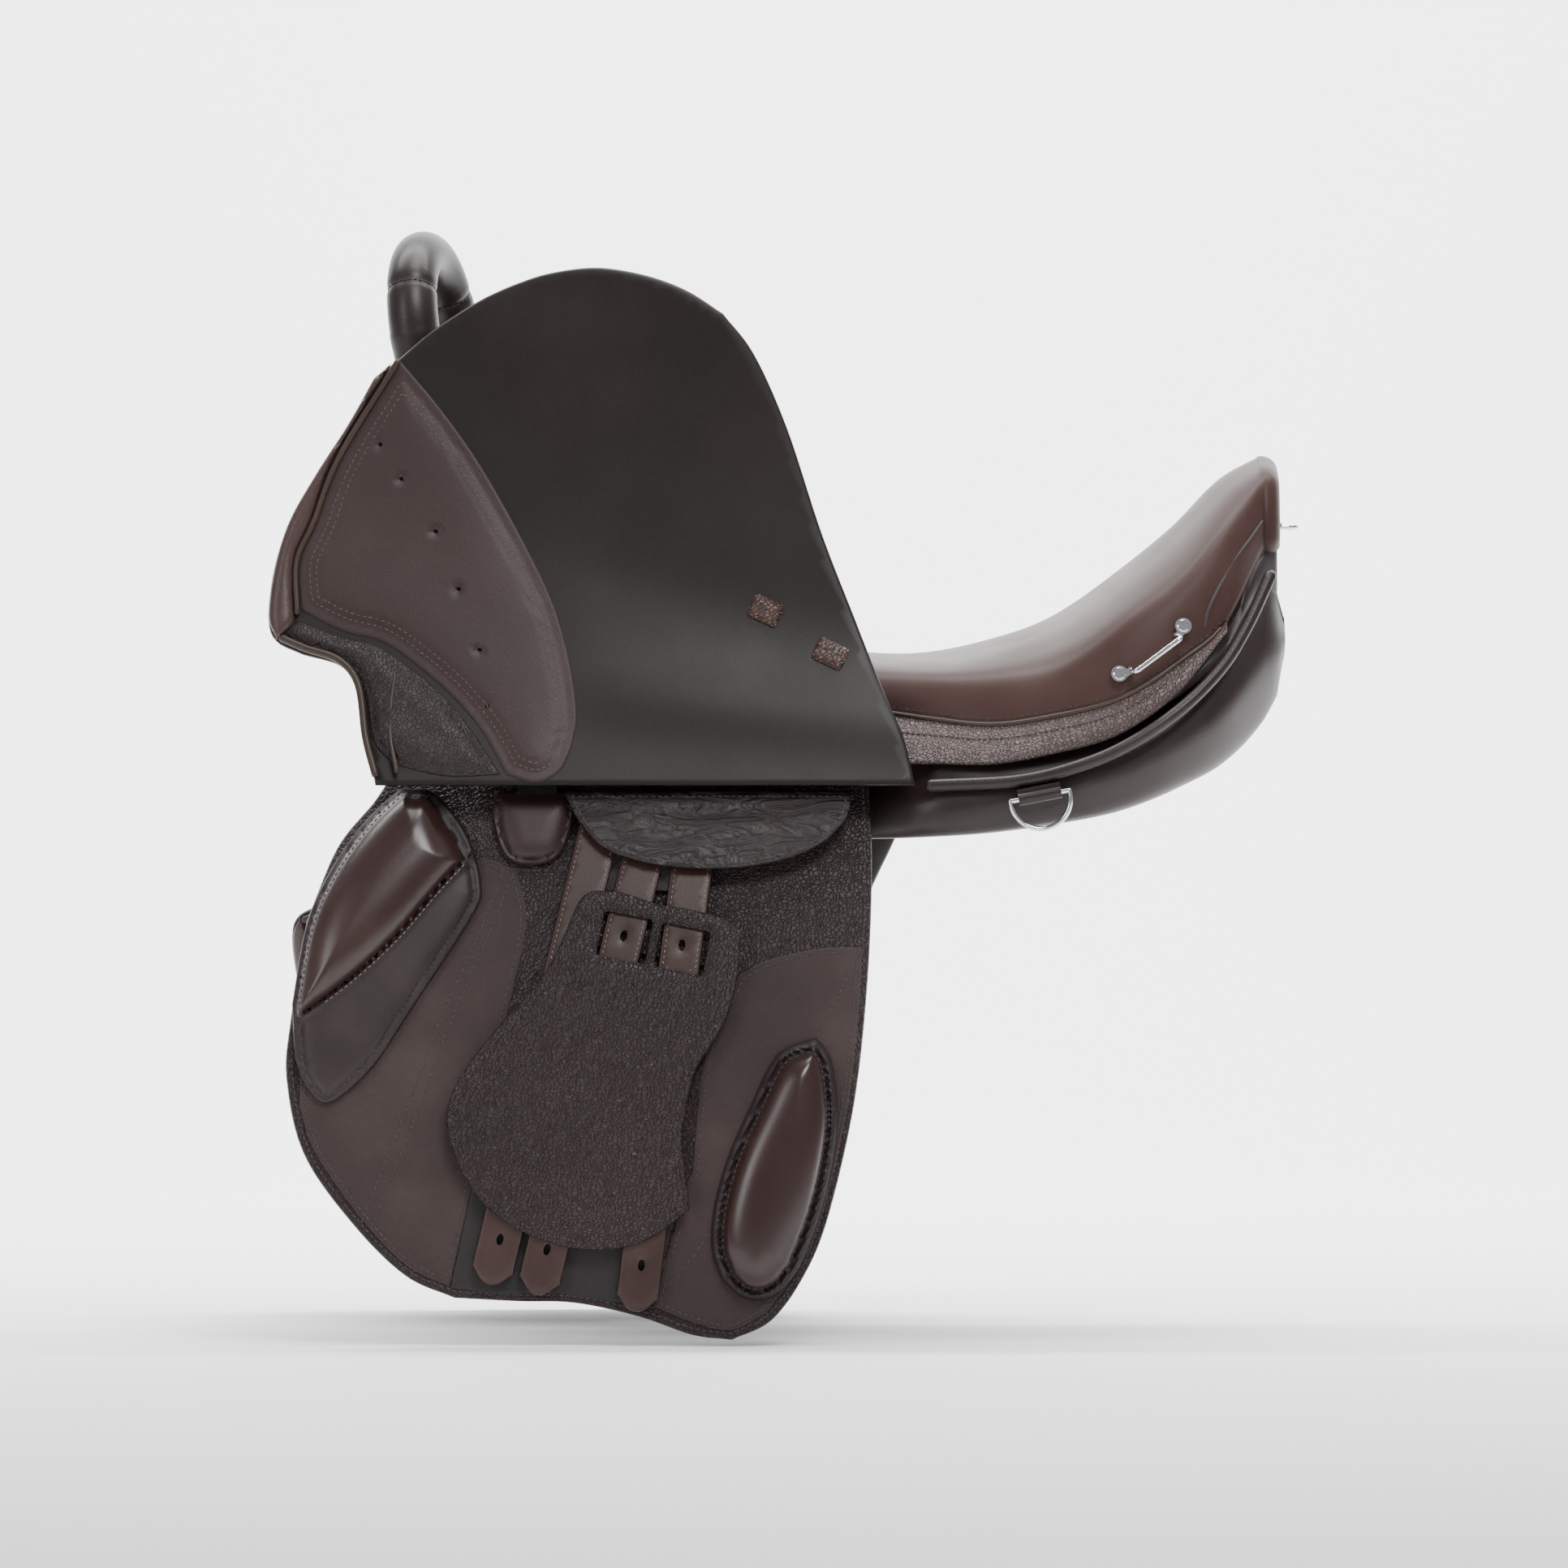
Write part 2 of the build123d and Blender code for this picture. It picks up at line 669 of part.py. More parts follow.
# Buckle guard: a plate over the billets, with two bridges that pass behind them
guard_face = side_face(
    [(-189, -70), (-182, -63), (-164, -63), (-141, -70), (-118, -74), (-98, -80), (-91, -86)],
    [(-91, -86), (-92, -106), (-96, -128), (-104, -147)]
    + [(-118, -170), (-124, -196), (-126, -212), (-121, -252)],
    [(-121, -252), (-140, -266), (-155, -273), (-174, -276)]
    + [(-196, -274), (-222, -265), (-245, -248), (-258, -229)],
    [(-258, -229), (-265, -209), (-266, -192), (-258, -172)]
    + [(-240, -148), (-220, -126), (-204, -104), (-189, -70)],
)


def window_layer(centre, width, height, low, high):
    """A turned block at a window, from one layer height to another."""
    with BuildSketch(Plane.XZ) as face:
        with Locations(Location(centre, WINDOW_TURN)):
            Rectangle(width, height)
    return barrel_layer(face.sketch, low, high)


def guard_bridge(centre):
    """The strip that drops behind the billet at one window."""
    root_width = WINDOW_CLEAR + 2 * BRIDGE_ROOT
    block = window_layer(centre, root_width, BRIDGE_HEIGHT, BRIDGE_LOW, GUARD_TOP)
    room = window_layer(centre, WINDOW_CLEAR, BRIDGE_HEIGHT + BRIDGE_ROOT, BRIDGE_TOP, CUT)
    with BuildPart() as bridge:
        add(block)
        add(room, mode=Mode.SUBTRACT)
    return bridge.part


plate_layer = barrel_layer(guard_face, GUARD_LOW, GUARD_TOP)
window_blocks = [window_layer(c, WINDOW_CLEAR, WINDOW_HEIGHT, 0, CUT) for c in WINDOWS]
bridges = [guard_bridge(c) for c in WINDOWS]
with BuildPart() as guard:
    add(plate_layer)
    for block in window_blocks:
        add(block, mode=Mode.SUBTRACT)
    for bridge in bridges:
        add(bridge)
save_pair(guard.part, "buckle_guard")


# Flaps: lifted on the near side, hanging down on the off side
def flap_centre():
    """Centre of the lifted flap's curve: through the fold and the leaning top edge."""
    run = FLAP_HEIGHT * sin(radians(FLAP_LEAN)) / cos(radians(FLAP_LEAN))
    chord = hypot(run, FLAP_HEIGHT)
    rise = sqrt(FLAP_R**2 - (chord / 2) ** 2)
    mid_y, mid_z = FOLD_Y + run / 2, FOLD_Z + FLAP_HEIGHT / 2
    return mid_y - rise * FLAP_HEIGHT / chord, mid_z + rise * run / chord


FLAP_CENTRE = flap_centre()
FOLD_AXIS = Axis((0, FOLD_Y, FOLD_Z), (1, 0, 0))


def flap_layer(face, low, high):
    """A sheet on the lifted near flap: 0 is its underside, and minus is outward from it."""
    return curved_layer(face, FLAP_CENTRE, FLAP_R + low, FLAP_R + high)


def save_flap_pair(part, label):
    """Write the lifted near piece, and on the off side the same piece folded down."""
    save(part, f"near_{label}")
    folded = part.rotate(FOLD_AXIS, FLAP_SWING)
    with BuildPart() as twin:
        mirror(folded, about=Plane.XZ)
    save(twin.part, f"off_{label}")


flap_face = side_face(
    [(-311, 1), (14, 1)],
    [(14, 1), (7, 30), (-8, 66), (-22, 102), (-42, 154), (-63, 218), (-83, 263), (-102, 288)],
    [(-102, 288), (-122, 301), (-141, 309), (-161, 314), (-180, 316)]
    + [(-200, 314), (-220, 309), (-248, 297), (-278, 278), (-298, 261)],
    [(-298, 261), (-313, 249)],
    [(-313, 249), (-330, 220), (-349, 190), (-365, 161), (-374, 132), (-377, 102), (-372, 88), (-356, 80)],
    [(-356, 80), (-333, 73), (-321, 59), (-317, 29), (-311, 1)],
)
save_flap_pair(flap_layer(flap_face, 0, FLAP), "flap")

lining_face = side_face(
    [(-298, 259), (-273, 229), (-249, 195), (-224, 151), (-205, 112), (-195, 78), (-190, 44), (-193, 24)],
    [(-193, 24), (-200, 10), (-214, 3), (-232, 8)],
    [(-232, 8), (-247, 34), (-264, 54), (-283, 71), (-307, 88), (-332, 95), (-358, 108)],
    [(-358, 108), (-359, 137), (-349, 161), (-334, 200), (-298, 259)],
)
save_flap_pair(flap_layer(lining_face, -LINING, 0), "knee_lining")

pad_face = side_face(
    [(-236, 8), (-253, 34), (-270, 54), (-287, 69), (-311, 85), (-334, 91), (-360, 101)],
    [(-360, 101), (-366, 96), (-362, 89), (-350, 84), (-330, 76), (-318, 58), (-312, 28), (-300, 14)],
    [(-300, 14), (-268, 7), (-236, 8)],
)
save_flap_pair(flap_layer(pad_face, -KNEE_PAD, 0), "knee_pad")

with BuildSketch(Plane.XZ) as keeper_face:
    with Locations(*[Location(centre, KEEPER_TURN) for centre in KEEPERS]):
        Rectangle(*KEEPER_SIZE)
save_flap_pair(flap_layer(keeper_face.sketch, -KEEPER, 0), "flap_keepers")

# Flap roots: the fixed edge of each flap's leather, between the skirt and the fold
ROOT_EDGE = [(-122, 12.5), (-131, 8), (-140.6, 3.5)]
ROOT_THICK = 3.5
with BuildPart() as root_strip:
    with BuildSketch(Plane.YZ.offset(ROOT_START)):
        with BuildLine():
            Polyline(*ROOT_EDGE, *[(y, z + ROOT_THICK) for y, z in ROOT_EDGE[::-1]], close=True)
        make_face()
    extrude(amount=ROOT_LENGTH)
save_both(root_strip.part, "flap_roots")

# Dee rings and their leather tabs on the panels
ring_plane = Plane(
    origin=(RING_X, RING_Y, RING_Z),
    x_dir=(cos(radians(RING_TILT)), 0, sin(radians(RING_TILT))),
    z_dir=(0, -1, 0),
)
ring_across = Plane(origin=ring_plane.origin, x_dir=(0, 1, 0), z_dir=ring_plane.x_dir)
with BuildPart() as ring:
    with BuildSketch(ring_across):
        Circle(RING_WIRE_R)
    extrude(amount=RING_HALF, both=True)
    with BuildLine(ring_plane) as loop:
        Line((RING_HALF, 0), (RING_HALF, -RING_SHOULDER))
        ThreePointArc((RING_HALF, -RING_SHOULDER), (0, -RING_DROP), (-RING_HALF, -RING_SHOULDER))
        Line((-RING_HALF, -RING_SHOULDER), (-RING_HALF, 0))
    with BuildSketch(Plane(origin=loop.line @ 0, z_dir=loop.line % 0)):
        Circle(RING_WIRE_R)
    sweep()
    with Locations(ring_plane):
        with Locations((RING_HALF, 0), (-RING_HALF, 0)):
            Sphere(RING_WIRE_R)
save_pair(ring.part, "dee_ring")

TAB_BORE = RING_WIRE_R + RING_GAP
TAB_BACK = 8.4
with BuildPart() as tab:
    with BuildSketch(ring_across):
        Circle(TAB_BORE + TAB_WALL)
        with Locations((TAB_BACK / 2, 2)):
            Rectangle(TAB_BACK, 8)
        Circle(TAB_BORE, mode=Mode.SUBTRACT)
    extrude(amount=TAB_HALF, both=True)
save_pair(tab.part, "dee_tab")

# Side bars on the cantle, each held by two screws
bar_along = BAR_REAR - BAR_FRONT
bar_out = BAR_FACING - bar_along * (BAR_FACING.dot(bar_along) / bar_along.dot(bar_along))
side_plane = Plane(origin=(BAR_FRONT + BAR_REAR) * 0.5, x_dir=bar_along, z_dir=bar_out)
ENDS = [(-SIDE_BAR_HALF, 0), (SIDE_BAR_HALF, 0)]
ARM = SIDE_BAR_HALF - BAR_EYE_R
WIRE_END = SIDE_BAR_HALF - 7
with BuildPart() as side_bar:
    with BuildSketch(side_plane):
        with Locations(*ENDS):
            Circle(BAR_EYE_R)
            Circle(SCREW_R, mode=Mode.SUBTRACT)
        with Locations((-ARM, -BAR_EYE), (ARM, -BAR_EYE)):
            Rectangle(6, 4)
    extrude(amount=BAR_EYE)
    with BuildLine(side_plane) as grip:
        FilletPolyline(
            (-WIRE_END, -3, 1.5), (-WIRE_END, -6, 9), (WIRE_END, -6, 9), (WIRE_END, -3, 1.5), radius=2.4
        )
    with BuildSketch(Plane(origin=grip.line @ 0, z_dir=grip.line % 0)):
        Circle(SIDE_BAR_WIRE_R)
    sweep()
save_pair(side_bar.part, "side_bar")

HEAD_TOP = BAR_EYE + SCREW_HEAD
with BuildPart() as screws:
    with BuildSketch(side_plane):
        with Locations(*ENDS):
            Circle(SCREW_R)
    extrude(amount=BAR_EYE)
    with BuildSketch(side_plane.offset(BAR_EYE)):
        with Locations(*ENDS):
            Circle(SCREW_HEAD_R)
    extrude(amount=SCREW_HEAD, taper=20)
    with BuildSketch(side_plane.offset(HEAD_TOP)):
        with Locations(*ENDS):
            Rectangle(*SCREW_SLOT)
            Rectangle(*SCREW_SLOT[::-1])
    extrude(amount=-SCREW_HEAD / 2, mode=Mode.SUBTRACT)
save_both(screws.part, "side_bar_screws")
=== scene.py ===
# %% [markdown]
# # An English saddle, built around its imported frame
# The frame holds the fixed sizes and the moving bodies. This lesson dresses it: moulded leather sheets,
# padded blocks, lofted cushions, sewn seams and bright fittings. Lengths in the outlines below are
# millimetres in the saddle's own frame, head toward -X and near side toward -Y, and become metres
# only when a mesh is made.

# %% Load the frame
import bpy
import bmesh
import numpy as np
from math import cos, hypot, pi, radians, sin, sqrt
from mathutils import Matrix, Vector
from mathutils.geometry import delaunay_2d_cdt


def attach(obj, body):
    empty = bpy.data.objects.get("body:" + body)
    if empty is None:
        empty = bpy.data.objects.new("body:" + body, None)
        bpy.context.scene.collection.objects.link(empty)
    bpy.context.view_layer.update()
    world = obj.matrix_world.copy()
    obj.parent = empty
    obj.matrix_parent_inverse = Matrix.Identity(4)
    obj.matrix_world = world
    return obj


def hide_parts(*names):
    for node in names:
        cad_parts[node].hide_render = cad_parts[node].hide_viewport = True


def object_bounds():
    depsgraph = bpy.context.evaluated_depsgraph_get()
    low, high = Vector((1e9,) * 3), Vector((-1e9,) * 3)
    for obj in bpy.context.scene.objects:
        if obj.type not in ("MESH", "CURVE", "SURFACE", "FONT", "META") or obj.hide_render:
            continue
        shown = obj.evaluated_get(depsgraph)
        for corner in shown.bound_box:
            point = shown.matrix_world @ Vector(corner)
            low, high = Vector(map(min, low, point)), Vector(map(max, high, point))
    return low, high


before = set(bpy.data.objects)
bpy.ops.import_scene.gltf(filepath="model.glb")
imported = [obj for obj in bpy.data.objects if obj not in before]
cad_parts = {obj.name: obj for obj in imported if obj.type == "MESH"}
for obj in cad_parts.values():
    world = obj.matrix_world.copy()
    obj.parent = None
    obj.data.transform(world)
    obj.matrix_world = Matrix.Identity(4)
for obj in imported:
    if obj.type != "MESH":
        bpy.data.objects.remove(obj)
cad_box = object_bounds()
MM = 0.001
print("CAD box", [[round(v, 3) for v in corner] for corner in cad_box])

# %% [markdown]
# ## The surfaces that the leather lies on
# Everything below the seat hangs on a round surface like a horse's barrel: one arc in the end view,
# run along X. A flap is its own arc, which turns about a fold line. A piece is drawn flat, in the side
# view, and then laid on one of these surfaces at a height in layers, as leather is cut flat and then
# moulded.

# %% Barrel and flap surfaces
BARREL_R, BARREL_Y, BARREL_Z = 800.0, 605.0, -343.0
FOLD_Y, FOLD_Z = -150.0, 0.0
FLAP_R, FLAP_HEIGHT, FLAP_LEAN, FLAP_SWING = 800.0, 316.0, radians(12), radians(170.8)
FLAP_THICK = 4.0

run = FLAP_HEIGHT * sin(FLAP_LEAN) / cos(FLAP_LEAN)
chord = hypot(run, FLAP_HEIGHT)
rise = sqrt(FLAP_R**2 - (chord / 2) ** 2)
FLAP_CY = FOLD_Y + run / 2 - rise * FLAP_HEIGHT / chord
FLAP_CZ = FOLD_Z + FLAP_HEIGHT / 2 + rise * run / chord


def on_barrel(x, z, h):
    """Near-side points at a height h over the barrel."""
    y = BARREL_Y - np.sqrt((BARREL_R + h) ** 2 - (z - BARREL_Z) ** 2)
    return np.stack([x, y, z], axis=-1)


def flap_wave(x, z):
    """The soft swell of the bent leather, a hand above the fold, that makes its broad bands of light."""
    swell = 2.4 * np.exp(-((z - 46 + 0.1 * (x + 60)) / 22) ** 2)
    hollow = 1.6 * np.exp(-((z - 100 + 0.25 * (x + 60)) / 34) ** 2)
    return (swell - hollow) / (1 + np.exp(-(x + 175) / 18))


def on_flap(x, z, h):
    """Points on the lifted near flap; h grows from its underside toward the onlooker."""
    h = h + flap_wave(x, z)
    y = FLAP_CY + np.sqrt((FLAP_R - h) ** 2 - (z - FLAP_CZ) ** 2)
    return np.stack([x, y, z], axis=-1)


def off_barrel(points):
    return points * np.array([1, -1, 1])


def off_flap(points):
    """The same leather on the off side, folded down."""
    y, z = points[:, 1] - FOLD_Y, points[:, 2] - FOLD_Z
    down_y = FOLD_Y + y * cos(FLAP_SWING) - z * sin(FLAP_SWING)
    down_z = FOLD_Z + y * sin(FLAP_SWING) + z * cos(FLAP_SWING)
    return np.stack([points[:, 0], -down_y, down_z], axis=-1)


print("flap arc centre", round(FLAP_CY, 1), round(FLAP_CZ, 1))

# %% [markdown]
# ## Leather
# Real saddle leather is a satin skin: a broad soft highlight, a slightly uneven dye and fine pores. Grain
# and embossing are bumps, with painted shade in their hollows and painted highlight flecks on some raised
# tops, and suede has no highlight but a sheen. One function makes them all from
# a few plain numbers, so that pieces cut from one hide look alike.


# %% Material helpers
def new_material(name):
    material = bpy.data.materials.new(name)
    material.use_nodes = True
    nodes = material.node_tree.nodes
    nodes.clear()
    out = nodes.new("ShaderNodeOutputMaterial")
    shader = nodes.new("ShaderNodeBsdfPrincipled")
    material.node_tree.links.new(shader.outputs[0], out.inputs[0])
    return material, shader


def add_node(material, kind, links=None, **values):
    """A node with its inputs set by name, from numbers or from other nodes' sockets."""
    node = material.node_tree.nodes.new(kind)
    for key, value in values.items():
        setattr(node, key, value)
    for key, value in (links or {}).items():
        if isinstance(value, bpy.types.NodeSocket):
            material.node_tree.links.new(value, node.inputs[key])
        else:
            node.inputs[key].default_value = value
    return node


def math_node(material, operation, a, b=0.0):
    return add_node(material, "ShaderNodeMath", {0: a, 1: b}, operation=operation).outputs[0]


def ramp(material, factor, stops):
    """A colour ramp through (position, colour) stops."""
    node = add_node(material, "ShaderNodeValToRGB", {"Fac": factor})
    elements = node.color_ramp.elements
    while len(elements) < len(stops):
        elements.new(0.5)
    for element, (position, colour) in zip(elements, stops):
        element.position = position
        element.color = (*colour, 1)
    return node.outputs[0]


def srgb(text):
    """Linear colour from six hex digits."""
    values = [int(text[i:i + 2], 16) / 255 for i in (0, 2, 4)]
    return tuple(((v + 0.055) / 1.055) ** 2.4 if v > 0.04 else v / 12.92 for v in values)


def blend_colour(a, b, t):
    return tuple(p + (q - p) * t for p, q in zip(a, b))


def leather(name, colour, rough=0.42, coat=0.0, grain="pores", depth=0.25, patch=0.35, flecks=None,
            sheen=0.0,
            shine=0.3):
    """Dyed leather: uneven colour, worn roughness and a grain. depth is the grain's height in mm."""
    material, shader = new_material(name)
    place = add_node(material, "ShaderNodeTexCoord").outputs["Object"]
    base = srgb(colour)
    cloud = add_node(material, "ShaderNodeTexNoise", {"Vector": place, "Scale": 9.0, "Detail": 5.0})
    dark, light = blend_colour(base, (0, 0, 0), patch), blend_colour(base, (0.6, 0.45, 0.4), patch * 0.16)
    tone = ramp(material, cloud.outputs["Fac"], [(0.3, dark), (0.52, base), (0.75, light)])
    fine = add_node(material, "ShaderNodeTexNoise", {"Vector": place, "Scale": 900.0, "Detail": 3.0})
    if grain == "pores":
        cell = add_node(material, "ShaderNodeTexVoronoi", {"Vector": place, "Scale": 1100.0})
        height = math_node(material, "MULTIPLY", cell.outputs["Distance"], 0.5)
        height = math_node(material, "ADD", height, fine.outputs["Fac"])
    elif grain == "pebble":
        warp = add_node(material, "ShaderNodeTexNoise", {"Vector": place, "Scale": 120.0})
        bent = add_node(material, "ShaderNodeVectorMath",
                        {0: warp.outputs["Color"], 1: (0.006, 0.006, 0.006)},
                        operation="MULTIPLY")
        moved = add_node(material, "ShaderNodeVectorMath", {0: place, 1: bent.outputs[0]}, operation="ADD")
        cell = add_node(material, "ShaderNodeTexVoronoi", {"Vector": moved.outputs[0], "Scale": 420.0},
                        feature="DISTANCE_TO_EDGE")
        height = add_node(material, "ShaderNodeMapRange", {0: cell.outputs["Distance"], 2: 0.22},
                          interpolation_type="SMOOTHSTEP").outputs[0]
    elif grain == "embossed":
        turned = add_node(material, "ShaderNodeMapping", {"Vector": place, "Rotation": (0, radians(38), 0),
                                                          "Scale": (0.62, 0.3, 0.95)})
        cell = add_node(material, "ShaderNodeTexVoronoi", {"Vector": turned.outputs[0], "Scale": 520.0,
                                                           "Randomness": 0.6}, feature="DISTANCE_TO_EDGE")
        height = add_node(material, "ShaderNodeMapRange", {0: cell.outputs["Distance"], 2: 0.25},
                          interpolation_type="SMOOTHSTEP").outputs[0]
    elif grain == "crease":
        creased = add_node(material, "ShaderNodeMapping", {"Vector": place, "Scale": (0.5, 1.0, 1.5)})
        warp = add_node(material, "ShaderNodeTexNoise",
                        {"Vector": creased.outputs[0], "Scale": 55.0, "Detail": 6.0,
                                                         "Distortion": 1.6})
        height = math_node(material, "SUBTRACT", warp.outputs["Fac"], 0.5)
        height = math_node(material, "ABSOLUTE", height)
        height = math_node(material, "MULTIPLY", height, 5.0)
        height = math_node(material, "MINIMUM", height, 1.0)
    else:
        nap = add_node(material, "ShaderNodeTexNoise", {"Vector": place, "Scale": 1500.0, "Detail": 4.0})
        tuft = add_node(material, "ShaderNodeTexNoise", {"Vector": place, "Scale": 160.0, "Detail": 4.0})
        height = math_node(material, "ADD", nap.outputs["Fac"], tuft.outputs["Fac"])
    if flecks:
        # Painted highlight: lighter flecks on the grain's raised tops, where the light catches the
        # embossing.
        top = math_node(material, "GREATER_THAN", height, 0.62)
        speck = add_node(material, "ShaderNodeTexNoise", {"Vector": place, "Scale": 260.0, "Detail": 3.0})
        share = add_node(material, "ShaderNodeMapRange",
                         {0: speck.outputs["Fac"], 1: 0.42, 2: 0.62, 4: 0.75})
        weight = math_node(material, "MULTIPLY", top, share.outputs[0])
        tone = mix_colour(material, weight, tone, srgb(flecks))
    elif grain in ("pebble", "crease", "embossed"):
        # Painted shade: the grain's hollows, the seams between pebbles and the creases, take a darker
        # colour.
        tone = mix_colour(material, height, ramp(material, cloud.outputs["Fac"],
                          [(0.3, blend_colour(dark, (0, 0, 0), 0.5)),
                           (0.7, blend_colour(base, (0, 0, 0), 0.45))]), None, tone)
    links = material.node_tree.links
    links.new(tone, shader.inputs["Base Color"])
    wear = add_node(material, "ShaderNodeTexNoise", {"Vector": place, "Scale": 22.0, "Detail": 2.0})
    gloss = add_node(material, "ShaderNodeMapRange", {0: wear.outputs["Fac"], 1: 0.3, 2: 0.7,
                                                      3: max(rough - 0.025, 0.05),
                                                      4: min(rough + 0.035, 1.0)})
    links.new(gloss.outputs[0], shader.inputs["Roughness"])
    bump = add_node(material, "ShaderNodeBump", {"Height": height, "Strength": 1.0, "Distance": depth * MM})
    links.new(bump.outputs[0], shader.inputs["Normal"])
    shader.inputs["Specular IOR Level"].default_value = shine
    shader.inputs["Coat Weight"].default_value = coat
    shader.inputs["Coat Roughness"].default_value = 0.28
    shader.inputs["Sheen Weight"].default_value = sheen
    shader.inputs["Sheen Roughness"].default_value = 0.5
    shader.inputs["Sheen Tint"].default_value = (*blend_colour(base, (1, 1, 1), 0.55), 1)
    return material


def mix_colour(material, factor, a, b_colour, b_socket=None):
    """Mix of a socket with a colour, or with another socket."""
    node = material.node_tree.nodes.new("ShaderNodeMix")
    node.data_type = "RGBA"
    colours = [socket for socket in node.inputs if socket.type == "RGBA"]
    links = material.node_tree.links
    links.new(factor, node.inputs[0])
    links.new(a, colours[0])
    if b_socket is None:
        colours[1].default_value = (*b_colour, 1)
    else:
        links.new(b_socket, colours[1])
    return [socket for socket in node.outputs if socket.type == "RGBA"][0]


def metal(name, colour, rough):
    """Polished plate with faint buffing marks."""
    material, shader = new_material(name)
    place = add_node(material, "ShaderNodeTexCoord").outputs["Object"]
    marks = add_node(material, "ShaderNodeTexNoise", {"Vector": place, "Scale": 700.0, "Detail": 4.0})
    gloss = add_node(material, "ShaderNodeMapRange",
                     {0: marks.outputs["Fac"], 3: rough * 0.7, 4: rough * 1.5})
    tone = ramp(material, marks.outputs["Fac"], [(0.3, blend_colour(srgb(colour), (0, 0, 0), 0.12)),
                                                 (0.7, srgb(colour))])
    bump = add_node(material, "ShaderNodeBump", {"Height": marks.outputs["Fac"], "Distance": 0.01 * MM})
    links = material.node_tree.links
    links.new(tone, shader.inputs["Base Color"])
    links.new(gloss.outputs[0], shader.inputs["Roughness"])
    links.new(bump.outputs[0], shader.inputs["Normal"])
    shader.inputs["Metallic"].default_value = 1.0
    return material


def woven(name, colour, scale=900.0, rough=0.8):
    """Webbing or foam: crossing threads with a little sheen."""
    material, shader = new_material(name)
    place = add_node(material, "ShaderNodeTexCoord").outputs["Object"]
    first = add_node(material, "ShaderNodeTexWave",
                     {"Vector": place, "Scale": scale / 3, "Distortion": 0.6})
    second = add_node(material, "ShaderNodeTexWave",
                      {"Vector": place, "Scale": scale / 3, "Distortion": 0.6},
                      bands_direction="Z")
    height = math_node(material, "MULTIPLY", first.outputs["Fac"], second.outputs["Fac"])
    tone = ramp(material, height, [(0.0, blend_colour(srgb(colour), (0, 0, 0), 0.45)), (0.8, srgb(colour))])
    bump = add_node(material, "ShaderNodeBump", {"Height": height, "Distance": 0.2 * MM})
    material.node_tree.links.new(tone, shader.inputs["Base Color"])
    material.node_tree.links.new(bump.outputs[0], shader.inputs["Normal"])
    shader.inputs["Roughness"].default_value = rough
    shader.inputs["Sheen Weight"].default_value = 0.2
    return material


# %% The hides, metals and threads of this saddle
SEAT_HIDE = leather("seat_hide", "3c2b28", rough=0.4, coat=0.0, depth=0.05, patch=0.15, shine=0.1)
FLAP_HIDE = leather("flap_underside_hide", "1d1817", rough=0.4, depth=0.03, patch=0.05, shine=0.2)
LINING_HIDE = leather("lining_hide", "2c1e1d", rough=0.48, depth=0.1, patch=0.12)
PAD_HIDE = leather("puffed_pad_hide", "281c1c", rough=0.46, grain="pebble", depth=0.25, patch=0.2)
GRAINED_HIDE = leather("grained_hide", "2b1d1e", rough=0.44, grain="pebble", depth=0.5, patch=0.2)
CREASED_HIDE = leather("creased_hide", "24191a", rough=0.42, grain="crease", depth=0.8, patch=0.2)
GUARD_HIDE = leather("guard_hide", "2e2021", rough=0.44, grain="pebble", depth=0.7, patch=0.15)
SKIRT_HIDE = leather("skirt_hide", "5a4b49", rough=0.38, grain="pebble", depth=0.6, patch=0.12)
PANEL_HIDE = leather("panel_hide", "231a19", rough=0.4, coat=0.05, depth=0.06, patch=0.2)
SUEDE_HIDE = leather("suede_hide", "342928", rough=0.95, grain="suede", depth=0.5, patch=0.25, sheen=0.3)
BLOCK_HIDE = leather("block_hide", "2b1a18", rough=0.3, coat=0.3, depth=0.04, patch=0.2)
RIM_HIDE = leather("block_rim_hide", "221819", rough=0.5, depth=0.08, patch=0.2)
BILLET_HIDE = leather("billet_hide", "301d19", rough=0.42, coat=0.1, depth=0.06, patch=0.25)
CHARCOAL_HIDE = leather("charcoal_hide", "1e1b1b", rough=0.6, depth=0.05, patch=0.1)
# The knee roll's leather is a lighter copy of the panel leather: its lighter colour is painted sheen along
# the roll.
SHEEN_ROLL_HIDE = leather("roll_hide", "3d2e2c", rough=0.34, depth=0.12, patch=0.12)
# The keepers' lighter flecks are painted highlights on their embossing.
KEEPER_HIDE = leather("keeper_hide", "34231f", rough=0.38, grain="embossed", depth=0.5, patch=0.2,
                      flecks="6a5048")
PIPING_HIDE = leather("piping_hide", "33261f", rough=0.4, depth=0.05, patch=0.2)
CHROME = metal("chrome", "e6e6e6", 0.08)
STEEL = metal("steel", "9a9a9a", 0.3)
TREE_SHELL = leather("tree_shell", "262626", rough=0.6, depth=0.1, patch=0.1)
FOAM = woven("foam", "57483e", 2500.0)
WEBBING = woven("webbing", "332a27")
DARK_THREAD = woven("dark_thread", "2a1f1d", 6000.0)
LIGHT_THREAD = woven("light_thread", "9a8173", 6000.0)
MID_THREAD = woven("mid_thread", "5f473d", 6000.0)
print(len(bpy.data.materials), "materials")

# %% [markdown]
# ## Cutting leather
# A piece starts as an outline: a few strokes, straight or curved, as a saddler's pattern has. A mesh
# that only spans the outline has long thin triangles, which catch the light badly once the piece is
# moulded. So the outline is filled with evenly spaced points and triangulated, and each point is then
# raised by a height that may depend on how far it lies from the edge. That one idea gives rounded
# edges, stuffed blocks, welts and creases.


